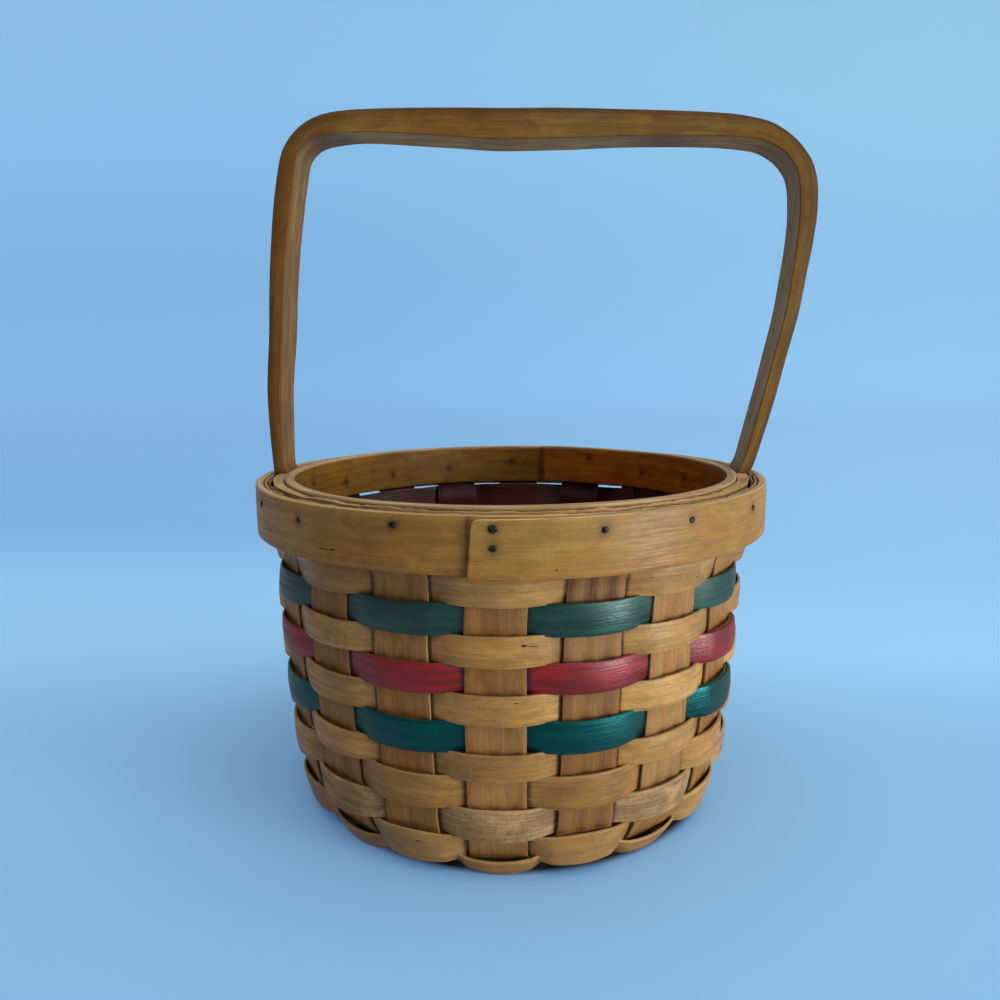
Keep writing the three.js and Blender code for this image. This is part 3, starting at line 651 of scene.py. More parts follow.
NAILS = [
    (f"nail_upright_{i}", (i + turn) * PITCH, RIM_HEIGHT - 4.6 * drop)
    for i, (turn, drop) in enumerate(zip(NAIL_TURNS, NAIL_DROPS))
]
NAILS.append(("nail_hoop_lap", NAIL_TURNS[0] * PITCH, RIM_HEIGHT - 9.4))
NAILS.append(("nail_handle_right", np.pi / 2, RIM_HEIGHT - 6.5))
NAILS.append(("nail_handle_left", -np.pi / 2, RIM_HEIGHT - 6.5))
print("nails:", len(NAILS))


def nail_marks(angle, height, reach):
    """Dark stain round the nails: for each nail, a bell curve of the distance to it, and of these
    the largest."""
    mark = np.zeros(np.broadcast_shapes(angle.shape, height.shape))
    for _, nail_angle, nail_height in NAILS:
        turn = (angle - nail_angle + np.pi) % (2 * np.pi) - np.pi
        mark = np.maximum(mark, bell(np.hypot(turn * NAIL_RADIUS, height - nail_height) / reach))
    return mark


# %% [markdown]
# ## The hoops
#
# Both hoops are thicker strips of wood, steamed and bent, with their ends thinned where they lap.
# The outer one shows its end at the front, cut a little askew with its top corner rounded. The
# inner one is squeezed into an oval by the handle's feet, and its top edge is rounded by use.

# %% Layers of a lapped hoop


def end_thickness(from_end, thick):
    """Thickness of a hoop at a distance from its end: it grows evenly over the lap, and then by
    an S-shaped step to the full thickness."""
    tapering = LAP_TIP + (LAP_START - LAP_TIP) * from_end / LAP_LENGTH
    filling = LAP_START + (thick - LAP_START) * smooth((from_end - LAP_LENGTH) / LAP_SETTLE)
    return np.where(from_end < LAP_LENGTH, tapering, filling)


def hoop_layers(walked, full, thick):
    """Near and far face of a lapped hoop above the layer that it lies on: the end thins towards
    its tip, and the starting end lies on the finishing end, then comes down by an S-shaped step."""
    own = np.minimum(end_thickness(walked, thick), end_thickness(full + LAP_LENGTH - walked, thick))
    under = np.where(walked < LAP_LENGTH, end_thickness(LAP_LENGTH - walked, thick), LAP_TIP)
    lifted = (under + LAP_GAP) * (1 - smooth((walked - LAP_LENGTH) / LAP_SETTLE))
    lifted = np.where(walked > full, 0, lifted)
    return lifted, lifted + own


def corner_cut(walked, size):
    """What a rounded corner takes off a strip's end: a quarter circle of the corner's size."""
    return size * (1 - np.sqrt(1 - np.clip(1 - walked / size, 0, 1) ** 2))


tip, lap_start = end_thickness(np.array([0.0, LAP_LENGTH]), OUTER_HOOP_THICK)
print("outer hoop's thickness at its tip and where its lap starts, mm:", tip, lap_start)

# %% Outer hoop
outer_full = 2 * np.pi * RIM_RADIUS
close_steps, wide_steps = np.linspace(0, 4, 24), np.linspace(4, outer_full + LAP_LENGTH, 840)
walked = np.unique(np.append(close_steps, wide_steps))[:, None]
across, through = section(OUTER_HOOP_HEIGHT, 1.0, 0.3, 17, 4)
near, far = hoop_layers(walked, outer_full, OUTER_HOOP_THICK)
depth_share = through + 0.5
low = OUTER_HOOP_HEIGHT / 2
up_share = across / low

# Edges that wave and sag, rounded corners at the visible end, and an end cut askew
sag = -0.9 * (1 - smooth(walked / 90))
edge_wave = edge_wander(walked, up_share, (37, 0.16), (52, 0.28))
edge_rough = edge_wander(walked, up_share, (1.3, 0.04), (1.7, 0.05))
corner = np.where(up_share > 0, corner_cut(walked, 2.6), corner_cut(walked, 0.8))
height = RIM_HEIGHT - low + across + sag + (edge_wave + edge_rough) * np.abs(up_share) ** 2
height = height - corner * up_share
askew = 0.7 * up_share * (1 - smooth(walked / 12))
angle = OUTER_HOOP_END + (walked + askew) / RIM_RADIUS
waver = wander(walked, 60, 0.12) * smooth(walked / 60)
bow = 0.12 * (1 - up_share**2)
radius = HOOP_INNER + near + (far - near) * depth_share + waver + bow * depth_share

# Dark stain round the nails, a darker visible end, and where the other end dives under it a dark
# crack line with a soft painted shadow beside the visible end
outside = through > 0.2
dark_end = smooth(1 - walked / (0.9 + wander(across, 2.3, 0.5)))
before_end = outer_full - walked + askew
crack = before_end - 0.35 + wander(across, 1.7, 0.2)
# Painted shadow: a soft band on the lower layer beside the visible end, with the crack's dark line
crack_and_shadow = np.maximum(bell(crack / 0.6), 0.4 * bell(before_end / 2.2)) * outside
stain = np.maximum(0.75 * nail_marks(angle, height, 2.1) * outside, dark_end)
stain = np.where(up_share > 0.975, -1.0, np.maximum(stain, crack_and_shadow))
tone = tone_of(stain, wander(walked, 70, 0.7), 0)
grain = grain_of(walked, across, (far - near) * depth_share, 0.0)
points = polar(angle, radius, height)
outer_hoop = make_strip("outer_hoop", points, grain, tone, ["hoop_outer"])
print("outer hoop faces:", len(outer_hoop.data.polygons))

# %% Inner hoop
REDDER_START = np.radians(57 + 360)  # counted on past a full turn, at the front right


def oval_radius(angle, inset):
    """Radius of an ellipse at an angle: one over the root of the squared sine over the squared
    half width plus the squared cosine over the squared half depth."""
    return 1 / np.hypot(np.sin(angle) / (INNER_SIDE - inset), np.cos(angle) / (INNER_FRONT - inset))


inner_full = 2 * np.pi * INNER_FRONT
walked = np.linspace(0, inner_full + LAP_LENGTH, 800)[:, None]
across, through = section(INNER_HOOP_HEIGHT, 1.0, 0.2, 17, 5)
near, far = hoop_layers(walked, inner_full, INNER_HOOP_THICK)
depth_share = through + 0.5
low = INNER_HOOP_HEIGHT / 2
up_share = across / low
angle = INNER_HOOP_END + walked / INNER_FRONT
edge_wave = edge_wander(walked, up_share, (41, 0.18), (47, 0.25))
crown = 0.12 * np.clip(up_share, 0, 1) ** 6 * (1 - (2 * depth_share - 1) ** 2)
height = RIM_HEIGHT + INNER_HOOP_RISE - low + across + edge_wave * np.abs(up_share) ** 2 + crown
radius = oval_radius(angle, near + (far - near) * depth_share)

# Dark stain round the nails' points, a darker starting end, painted shadow in a band beside the
# joint, and redder wood from there to the front right
inner_side = through > 0.2
stain = np.maximum(0.95 * nail_marks(angle, height, 2.0) * inner_side, 0.8 * smooth(1 - walked / 1.2))
# Painted shadow in a band beside the joint, next to the end of the hoop
beside_end = (inner_full - walked) / (4.5 + wander(across, 2.9, 0.8))
joint_shadow = 0.9 * (smooth(beside_end * 3 + 0.3) - smooth(beside_end * 3 - 1.2)) * inner_side
top_edge = up_share > 0.955
stain = np.where(top_edge, -1.0, np.maximum(stain, joint_shadow))
deepening = 0.5 + 0.5 * smooth((inner_full - walked) / 25 - 0.4)
redder = smooth((angle - REDDER_START) / 0.1) * deepening * inner_side
tone = tone_of(stain, wander(walked, 60, 0.6), redder * ~top_edge)
grain = grain_of(walked, across, (far - near) * depth_share, 3300.0)
points = polar(angle, radius, height)
inner_hoop = make_strip("inner_hoop", points, grain, tone, ["hoop_inner"])
print("inner hoop faces:", len(inner_hoop.data.polygons))

# %% [markdown]
# ## Fillers
#
# Thin splints fill the rim between the hoops and the uprights. Only their ragged top edges show,
# from above, as pale lines with dark gaps between them; the dark gaps are painted shade on each
# splint below its pale top edge. A plain ring would be too neat there, so each is a strip like the
# others, with a rough top.

# %% Filler splints
SPLINT_THICK = 0.7


def filler(name, node_name, outer, rise, tall, span, grain_start, wedge):
    """A thin splint bent to part of a circle: the angle runs evenly over the span, and the top
    edge is rougher than the bottom one. A wedge thickens inwards until it reaches the oval of the
    inner hoop, less a small gap."""
    start, stop = span
    length = (stop - start) * outer
    walked = np.linspace(0, length, int(length / 0.9))[:, None]
    across, through = section(tall, SPLINT_THICK, 0.12, 5)
    up_share = across / (tall / 2)
    ragged = wander(walked, 1.2, 0.16) + wander(walked, 4, 0.16) - np.abs(wander(walked, 15, 0.45))
    height = RIM_HEIGHT + rise - tall / 2 + across + ragged * (up_share > 0) * np.abs(up_share) ** 4
    angle = start + walked / outer
    thick = np.maximum(0.75, outer - oval_radius(angle, 0) - 0.5) if wedge else 0.75
    radius = outer - 0.1 - thick * (0.5 - through / SPLINT_THICK) + wander(walked, 23, 0.06)
    # Painted shade on all of the splint below its pale top edge, which darkens the gaps between layers
    tone = tone_of(np.where(up_share > 0.97, -0.6, 0.75), wander(walked, 30, 0.8), 0)
    grain = grain_of(walked, across, through, grain_start)
    points = polar(angle, radius, height)
    return make_strip(name, points, grain, tone, [node_name])


butt = np.radians(-146)
foot_half = np.arcsin((FOOT_WIDTH / 2 + FIT_GAP) / INNER_FILLER_INNER)
around_rim = butt + 1.6 / FILLER_OUTER, butt + 2 * np.pi
front_half = -np.pi / 2 + foot_half, np.pi / 2 - foot_half
back_half = np.pi / 2 + foot_half, 3 * np.pi / 2 - foot_half
FILLERS = [  # name, node, outer radius, top above the rim, height, span, start of the grain, wedge
    ("outer_filler", "rim_filler_outer", FILLER_OUTER, -0.1, 16.3, around_rim, 4100.0, False),
    ("front_filler", "rim_filler_front", INNER_FILLER_OUTER, 0.5, 11.5, front_half, 4700.0, True),
    ("back_filler", "rim_filler_back", INNER_FILLER_OUTER, 0.1, 11.3, back_half, 5300.0, True),
]
fillers = [filler(*values) for values in FILLERS]
print("fillers:", [len(piece.data.polygons) for piece in fillers])

# %% [markdown]
# ## The handle
#
# The handle is one bent stick. Measured stations give its outer face, its thickness and its width,
# from one foot over the grip to the other foot. A smooth curve through the stations gives the
# bends, and the section's corners are rounded as a spokeshave leaves them.

# %% Stations of the handle
HANDLE_RISE, GRIP_THICK, GRIP_WIDTH = 137, 11, 19

# Each row: to the right and up, as shares of the foot's place and the rise, then how far the
# stick has grown from the foot's thickness and width to the grip's
HANDLE = np.array([
    [-1.018, 0.012, 0, 0.1], [-1.026, 0.217, 0.12, 1], [-1.005, 0.414, 0.21, 1],
    [-0.996, 0.525, 0.26, 1], [-0.979, 0.652, 0.3, 1], [-0.963, 0.745, 0.36, 1],
    [-0.94, 0.835, 0.36, 1], [-0.92, 0.888, 0.3, 1], [-0.892, 0.922, 0.24, 1],
    [-0.853, 0.951, 0.26, 1], [-0.805, 0.973, 0.36, 1], [-0.746, 0.988, 0.48, 1],
    [-0.675, 0.996, 0.53, 1], [-0.597, 0.999, 0.56, 1], [-0.469, 1, 0.65, 1],
    [-0.228, 0.998, 0.86, 1], [-0.028, 0.994, 1, 1], [0.21, 0.991, 0.95, 1],
    [0.445, 0.984, 0.76, 1], [0.664, 0.977, 0.65, 1], [0.869, 0.967, 0.53, 1],
    [1.017, 0.948, 0.4, 1], [1.1, 0.919, 0.3, 1], [1.168, 0.876, 0.25, 1],
    [1.211, 0.828, 0.28, 1], [1.229, 0.772, 0.32, 1], [1.231, 0.719, 0.3, 1],
    [1.22, 0.635, 0.23, 1], [1.203, 0.561, 0.16, 1], [1.179, 0.455, 0.11, 1],
    [1.133, 0.32, 0.06, 1], [1.096, 0.209, 0.05, 0.9], [1.06, 0.116, 0.02, 0.6],
    [1.023, 0.025, 0, 0.1],
])
stations = np.stack([
    HANDLE[:, 0] * FOOT_OUTER,
    RIM_HEIGHT + HANDLE[:, 1] * HANDLE_RISE,
    FOOT_THICK + HANDLE[:, 2] * (GRIP_THICK - FOOT_THICK),
    FOOT_WIDTH + HANDLE[:, 3] * (GRIP_WIDTH - FOOT_WIDTH),
], -1)
foot_ends = (FOOT_INSERT, UPRIGHT_TOP_DROP)
feet = np.array([[FOOT_OUTER, RIM_HEIGHT - drop, FOOT_THICK, FOOT_WIDTH] for drop in foot_ends])
stations = np.concatenate([feet * [-1, 1, 1, 1], stations, feet[::-1]])
print("handle stations:", len(stations))


def through_points(values, spacing):
    """A smooth curve through given points that never swings past them: each point's slope is the
    harmonic mean of the slopes on both sides, or nothing where they differ in sign, and a cubic
    joins each pair of points. Places are measured along the chords."""
    chord = walk_along(values[:, :2])
    rise = np.diff(values, axis=0) / np.diff(chord)[:, None]
    product = rise[1:] * rise[:-1]
    mean = np.where(product > 0, 2 * product / np.where(product > 0, rise[1:] + rise[:-1], 1), 0)
    slope = np.concatenate([rise[:1], mean, rise[-1:]])
    place = np.linspace(0, chord[-1], int(chord[-1] / spacing))
    index = np.clip(np.searchsorted(chord, place, side="right") - 1, 0, len(chord) - 2)
    gap = (chord[index + 1] - chord[index])[:, None]
    t = (place[:, None] - chord[index][:, None]) / gap
    return cubic(t, values[index], values[index + 1], gap, slope[index], slope[index + 1])


# %% Handle
CORNER = 0.5


def corner_and_flat(values, flat_half):
    """Splits a measure across the section: what lies past the flat part is the rounded corner,
    which keeps its size, and the flat part becomes a share between -1 and 1."""
    past = np.sign(values) * np.clip(np.abs(values) - flat_half, 0, None)
    return past, np.clip(values / flat_half, -1, 1)


curve = through_points(stations, 0.8)
ahead = unit(np.gradient(curve[:, :2], axis=0))
inward = np.stack([ahead[:, 1], -ahead[:, 0]], -1)
walked = walk_along(curve[:, :2])[:, None]
thick, width = curve[:, 2:3], curve[:, 3:4]
unit_across, unit_through = section(19.0, 8.0, CORNER, 15, 5)
corner_across, flat_across = corner_and_flat(unit_across, 9.5 - CORNER)
corner_through, flat_through = corner_and_flat(unit_through, 4 - CORNER)
shaved = edge_wander(walked, unit_across, (28, 0.12), (33, 0.12))
sideways = flat_across * (width / 2 - CORNER) + corner_across + np.sign(unit_across) * shaved
depth = thick / 2 + flat_through * (thick / 2 - CORNER) + corner_through
uneven = wander(walked, 21, 0.1) + 0.15 * flat_across * wander(walked, 40, 1.0)
depth = depth + uneven * (flat_through > 0.5)
points = np.stack([
    curve[:, 0:1] + inward[:, 0:1] * depth,
    sideways,
    curve[:, 1:2] + inward[:, 1:2] * depth,
], -1)

# Inside painted paler and bluer as bounce light from the sheet; darker where the stick was bent
# and along its inner edges; painted shade at its feet
inner_face = np.clip(flat_through * 1.2, 0, 1) * (0.45 + 0.55 * smooth((walked - 140) / 30))
edge_line = (np.abs(flat_across) >= 1) & (flat_through >= 1)
bends = np.maximum(bell((walked - 152) / 13), 0.6 * bell((walked - walked.max() + 190) / 16))
# Painted shade at the feet, fading out 6 mm above the rim
foot_shade = 0.8 * smooth(1 - (curve[:, 1:2] - RIM_HEIGHT) / 6)
stain = np.maximum(np.maximum(1.3 * bends * inner_face, foot_shade), 0.55 * edge_line)
tone = tone_of(stain, wander(walked, 30, 0.8), inner_face)
grain = grain_of(walked, unit_across, depth, 6100.0)
handle = make_strip("bent_handle", points, grain, tone, ["handle"])
print("handle faces:", len(handle.data.polygons))

# %% [markdown]
# ## Nails
#
# A nail here shows two things: outside a small domed head, driven a little into the wood, and
# inside the basket its point, just through the inner hoop. A ball and a cone would do for the
# two, but a profile turned round the nail's own line makes both in one go.

# %% Nails


def outer_surface(angle):
    """Radius of the outer hoop's outer face at an angle, from how far along the hoop it lies."""
    walked = ((angle - OUTER_HOOP_END) % (2 * np.pi)) * RIM_RADIUS
    return HOOP_INNER + hoop_layers(walked, outer_full, OUTER_HOOP_THICK)[1]


def inner_surface(angle):
    """Radius of the inner hoop's inner face at an angle, from how far along the hoop it lies."""
    walked = ((angle - INNER_HOOP_END) % (2 * np.pi)) * INNER_FRONT
    return oval_radius(angle, hoop_layers(walked, inner_full, INNER_HOOP_THICK)[1])


nails = []
for number, (node_name, angle, height) in enumerate(NAILS):
    seat, tip = float(outer_surface(angle)), float(inner_surface(angle))
    length = seat - tip
    size = random.uniform(0.8, 0.92) if 0 < number <= UPRIGHTS else 1.05
    point = [[0.05, -length - 0.5], [0.3, -length - 0.1], [0.55, 0.9 - length], [0.6, -0.6]]
    head = [[1.35, -0.15], [1.45, 0.05], [1.42, 0.22], [1.2, 0.42], [0.75, 0.55], [0.3, 0.6]]
    head = [[size * radius, out] for radius, out in head]
    profile = np.array(point + head + [[0.05, 0.61]])
    turn = np.linspace(0, 2 * np.pi, 15)[:-1]
    lean = random.uniform(-0.08, 0.08, 2)
    radial = profile[:, 0:1] * (1 + 0.04 * np.sin(3 * turn + number)[None, :])
    tipped = radial * (lean[0] * np.cos(turn) + lean[1] * np.sin(turn))
    out = profile[:, 1:2] + np.where(profile[:, 1:2] > -0.5, tipped, 0)
    sideways, up = radial * np.cos(turn), radial * np.sin(turn) * 0.86
    points = polar(angle, 1.0, 0.0) * (seat + out)[..., None]
    points = points + sideways_at(angle) * sideways[..., None]
    points = points + np.array([0, 0, 1]) * (up + height)[..., None]
    tone = tone_of(0 * radial, random.uniform(-1, 1), 0)
    grain = grain_of(out, sideways, up, 41.0 * number)
    name = node_name.replace("nail_", "nail_head_")
    nails.append(make_strip(name, points, grain, tone, [node_name]))
print("nails made:", len(nails), "faces each:", len(nails[0].data.polygons))

# %% [markdown]
# ## Small helpers for materials
#
# A material here is a handful of nodes. A few short helpers keep the wiring readable: one makes a
# node, sets its options and joins or fills its inputs, and the others name what is used most.

# %% Node helpers


def add(tree, kind, inputs=None, **options):
    """Makes a node, sets its options, and for each input either joins a socket or writes a value."""
    node = tree.nodes.new(kind)
    for key, value in options.items():
        setattr(node, key, value)
    for key, value in (inputs or {}).items():
        if isinstance(value, bpy.types.NodeSocket):
            tree.links.new(value, node.inputs[key])
        else:
            node.inputs[key].default_value = value
    return node


def blend(tree, factor, first, second, how="MIX"):
    """The colour between two colours: at factor 0 the first, at 1 the second."""
    inputs = {0: factor, 6: first, 7: second}
    return add(tree, "ShaderNodeMix", inputs, data_type="RGBA", blend_type=how).outputs[2]


def ramp(tree, value, low, high, to_low=0.0, to_high=1.0):
    """A value led smoothly from one range to another and held outside it."""
    inputs = {"Value": value, "From Min": low, "From Max": high, "To Min": to_low, "To Max": to_high}
    return add(tree, "ShaderNodeMapRange", inputs, interpolation_type="SMOOTHSTEP").outputs["Result"]


def calc(tree, how, first, second=0.0, third=0.0):
    """One sum on values."""
    return add(tree, "ShaderNodeMath", {0: first, 1: second, 2: third}, operation=how).outputs[0]


def times(tree, first, second):
    """Two values multiplied."""
    return calc(tree, "MULTIPLY", first, second)


def times_plus(tree, first, second, third):
    """The first value times the second, plus the third."""
    return calc(tree, "MULTIPLY_ADD", first, second, third)


def held(tree, value):
    """A value held between 0 and 1."""
    return add(tree, "ShaderNodeClamp", {"Value": value}).outputs[0]


def carried(tree, name):
    """The three numbers that each point of a mesh carries under a name."""
    return add(tree, "ShaderNodeAttribute", attribute_name=name).outputs["Vector"]


def scaled_noise(tree, vector, scale, detail=3.0, roughness=0.6, distortion=0.0):
    """Noise read from a vector that is stretched first, so that its grains are long or round."""
    stretched = add(tree, "ShaderNodeVectorMath", {0: vector, 1: scale}, operation="MULTIPLY")
    inputs = {"Vector": stretched.outputs[0], "Scale": 1.0}
    inputs.update({"Detail": detail, "Roughness": roughness, "Distortion": distortion})
    return add(tree, "ShaderNodeTexNoise", inputs).outputs["Fac"]


def new_group(name, inputs, outputs):
    """A node group whose sockets have names, kinds and starting values."""
    tree = bpy.data.node_groups.new(name, "ShaderNodeTree")
    for label, kind, value in inputs:
        tree.interface.new_socket(label, in_out="INPUT", socket_type=kind).default_value = value
    for label, kind in outputs:
        tree.interface.new_socket(label, in_out="OUTPUT", socket_type=kind)
    return tree, tree.nodes.new("NodeGroupInput").outputs, tree.nodes.new("NodeGroupOutput").inputs


COLOUR, VALUE = "NodeSocketColor", "NodeSocketFloat"
print("helpers for nodes are ready")

# %% [markdown]
# ## Split wood
#
# Split or sliced wood shows three scales at once: broad bands of early and late growth, fine
# fibres with darker pores between them, and cloudy patches from the finish. All three are noise,
# read in the straight splint's own directions and stretched along it by different amounts. One
# group makes them, and each kind of wood gives it its own colours and strengths.

# %% The group for split wood
wood, wood_in, wood_out = new_group(
    "split_wood",
    [
        ("Light", COLOUR, (0.4, 0.25, 0.1, 1)),
        ("Dark", COLOUR, (0.22, 0.12, 0.045, 1)),
        # the colour of stains and of painted shade
        ("Stain And Shade", COLOUR, (0.09, 0.035, 0.012, 1)),
        ("Cut Edge", COLOUR, (0.5, 0.36, 0.19, 1)),
        ("Inner Side", COLOUR, (1, 1, 1, 1)),
        ("Bands", VALUE, 0.6),
        ("Fibres", VALUE, 0.5),
        ("Patches", VALUE, 0.4),
        ("Tint", VALUE, 0.12),
        ("Amber", VALUE, 0.6),
        ("Flecks", VALUE, 0.06),
    ],
    [("Color", COLOUR), ("Height", VALUE), ("Gloss", VALUE)],
)
grain_at = carried(wood, "grain")
tone_at = add(wood, "ShaderNodeSeparateXYZ", {0: carried(wood, "tone")}).outputs
bands = scaled_noise(wood, grain_at, (14, 330, 330), 3.0, 0.6, 0.6)
streaks = scaled_noise(wood, grain_at, (32, 1150, 1150), 3.0, 0.6, 0.2)
fibres = scaled_noise(wood, grain_at, (75, 2700, 2700), 3.0, 0.7)
pores = scaled_noise(wood, grain_at, (260, 3600, 3600), 2.0, 0.5)
patches = scaled_noise(wood, grain_at, (70, 170, 170), 4.0, 0.65, 0.8)
flecks = scaled_noise(wood, grain_at, (1700, 500, 500), 2.0, 0.6)
amber = scaled_noise(wood, grain_at, (22, 60, 60), 2.0, 0.5)
print("group:", wood.name, "with its noise:", len(wood.nodes), "nodes")

# %% [markdown]
# The scales are laid over each other from the broadest to the finest. Then the whole is warmed to
# amber in places, clouded and tinted, and last come the side that faces into the basket (painted
# shade on most pieces, painted bounce light on the handle), the pale cut edges, and the stain with
# painted shade, which each piece carries as its tone.

# %% Colour and relief of split wood


def lay_over(shade, mask, strength, colour):
    """Lays a colour over the shade where the mask shows, by a strength."""
    return blend(wood, times(wood, mask, strength), shade, colour)


fibre_strength = times(wood, wood_in["Fibres"], 0.7)
pore_strength = times(wood, wood_in["Fibres"], 0.8)
shade = lay_over(wood_in["Light"], ramp(wood, bands, 0.38, 0.62), wood_in["Bands"], wood_in["Dark"])
shade = lay_over(shade, ramp(wood, streaks, 0.46, 0.68), wood_in["Fibres"], wood_in["Dark"])
shade = lay_over(shade, ramp(wood, fibres, 0.5, 0.72), fibre_strength, wood_in["Dark"])
shade = lay_over(shade, ramp(wood, pores, 0.6, 0.74), pore_strength, wood_in["Stain And Shade"])

# Amber patches, and amber also where the tint is below zero
warm = times(wood, ramp(wood, amber, 0.42, 0.66), wood_in["Amber"])
deeper = held(wood, times(wood, tone_at["Y"], -1.0))
warm = calc(wood, "MINIMUM", times_plus(wood, deeper, wood_in["Amber"], warm), 1.0)
shade = blend(wood, warm, shade, blend(wood, 1.0, shade, (1.04, 0.84, 0.58, 1), "MULTIPLY"))

# Lighter and darker clouds, the piece's own tint, and flecks
cloud = times_plus(wood, ramp(wood, patches, 0.32, 0.68, -0.5, 0.5), wood_in["Patches"], 1.0)
cloud = times(wood, cloud, times_plus(wood, tone_at["Y"], wood_in["Tint"], 1.0))
fleck_share = ramp(wood, flecks, 0.3, 0.7, -1.0, 1.0)
cloud = times(wood, cloud, times_plus(wood, fleck_share, wood_in["Flecks"], 1.0))
bright = add(wood, "ShaderNodeVectorMath", {0: shade, "Scale": cloud}, operation="SCALE").outputs[0]

# The inner side (painted shade, on the handle painted bounce light), cut edges, and stain with
# painted shade of each piece
turned = blend(wood, held(wood, tone_at["Z"]), (1, 1, 1, 1), wood_in["Inner Side"])
bright = blend(wood, 1.0, bright, turned, "MULTIPLY")
pale_edge = held(wood, times(wood, tone_at["X"], -1.0))
bright = lay_over(bright, pale_edge, ramp(wood, streaks, 0.3, 0.65, 1.0, 0.4), wood_in["Cut Edge"])
# The tone's stain and painted shade darken the wood towards its stain colour
stain_and_shade = times(wood, held(wood, tone_at["X"]), ramp(wood, streaks, 0.3, 0.6, 0.75, 1.0))
wood.links.new(blend(wood, stain_and_shade, bright, wood_in["Stain And Shade"]), wood_out["Color"])

# Relief: bands, streaks, fibres and flecks stand up, pores are cut in
relief = times_plus(wood, fibres, 0.5, times(wood, pores, -0.3))
relief = times_plus(wood, bands, 0.3, times_plus(wood, streaks, 0.6, relief))
wood.links.new(times_plus(wood, flecks, 0.1, relief), wood_out["Height"])
wood.links.new(ramp(wood, streaks, 0.3, 0.7), wood_out["Gloss"])
print("group:", wood.name, len(wood.nodes), "nodes")

# %% [markdown]
# ## Knots
#
# A knot is a small dark eye in the wood. It could be painted as a picture, but a mask from the
# distance to one place needs no picture. The place is given in the straight splint, so the knot
# bends with the piece, and a long thin one looks like a crack.

# %% The group for a knot
KNOT_SIZES = {"Along": 0.0, "Across": 0.0, "Length": 0.003, "Width": 0.0012}
knot, knot_in, knot_out = new_group(
    "knot", [(label, VALUE, size) for label, size in KNOT_SIZES.items()], [("Mask", VALUE)]
)
knot_grain = carried(knot, "grain")
grain_parts = add(knot, "ShaderNodeSeparateXYZ", {0: knot_grain}).outputs
jitter = scaled_noise(knot, knot_grain, (900, 900, 900), 2.0)
away_along = calc(knot, "SUBTRACT", grain_parts["X"], knot_in["Along"])
away_along = calc(knot, "DIVIDE", away_along, knot_in["Length"])
away_across = calc(knot, "SUBTRACT", grain_parts["Y"], knot_in["Across"])
away_across = calc(knot, "DIVIDE", away_across, knot_in["Width"])
squares = times_plus(knot, away_along, away_along, times(knot, away_across, away_across))
distance = calc(knot, "ADD", calc(knot, "SQRT", squares), ramp(knot, jitter, 0.3, 0.7, -0.35, 0.35))
knot.links.new(ramp(knot, distance, 1.1, 0.35), knot_out["Mask"])
print("group:", knot.name)

# %% [markdown]
# ## The woods
#
# All splints come from one pale wood. Three rows are dyed, one is rougher and greyer, and the
# hoops and the handle were finished darker. The dye leaves the grain showing, and its rows are
# shinier than the rest. So each wood is the same group with its own colours and strengths, and
# the few marks that stand out on the real basket are listed one by one.

# %% A wood material


def wood_material(
    name, light, dark, stain, strengths, rough, bump, marks=(), edge=(0.46, 0.31, 0.13),
    inner=(1, 1, 1), gloss=0.4, gloss_colour=(1, 1, 1), amber=0.6, flecks=0.05,
):
    """A wood: the split-wood group gives colour and relief, marks darken their spots, and the
    shader's roughness follows the fibres. The strengths are of bands, fibres, patches and tint."""
    material = bpy.data.materials.new(name)
    material.use_nodes = True
    tree = material.node_tree
    shader = tree.nodes["Principled BSDF"]
    colours = {"Light": light, "Dark": dark, "Stain And Shade": stain, "Cut Edge": edge, "Inner Side": inner}
    surface = tree.nodes.new("ShaderNodeGroup")
    surface.node_tree = wood
    for label, value in colours.items():
        surface.inputs[label].default_value = (*value, 1)
    for label, value in zip(("Bands", "Fibres", "Patches", "Tint"), strengths):
        surface.inputs[label].default_value = value
    surface.inputs["Amber"].default_value = amber
    surface.inputs["Flecks"].default_value = flecks
    colour, height = surface.outputs["Color"], surface.outputs["Height"]
    mark_colour = (*[0.5 * part for part in stain], 1)
    for mark in marks:
        spot = tree.nodes.new("ShaderNodeGroup")
        spot.node_tree = knot
        for label, value in zip(KNOT_SIZES, mark):
            spot.inputs[label].default_value = value / 1000
        colour = blend(tree, spot.outputs["Mask"], colour, mark_colour)
    tree.links.new(colour, shader.inputs["Base Color"])
    roughness = ramp(tree, surface.outputs["Gloss"], 0.0, 1.0, rough - 0.08, rough + 0.1)
    tree.links.new(roughness, shader.inputs["Roughness"])
    relief_node = add(tree, "ShaderNodeBump", {"Strength": bump, "Distance": 0.0004, "Height": height})
    tree.links.new(relief_node.outputs["Normal"], shader.inputs["Normal"])
    shader.inputs["Specular IOR Level"].default_value = gloss
    shader.inputs["Specular Tint"].default_value = (*gloss_colour, 1)
    return material


def paint(pieces, material):
    """Gives each piece one material, in place of any other."""
    for piece in pieces:
        piece.data.materials.clear()
        piece.data.materials.append(material)


print("the wood of each kind takes", len(wood_in) - 1, "values")

# %% Marks that stand out


def weaver_mark(row, place, up, length, width):
    """A mark on a weaver at a place counted in uprights and a height above its middle, turned into
    the straight splint's own measures."""
    middle, start = (row_radius[row] + row_radius[row + 1]) / 2, WEAVER_START * (row + 1)
    return place * PITCH * middle + start, up + start / 7, length, width


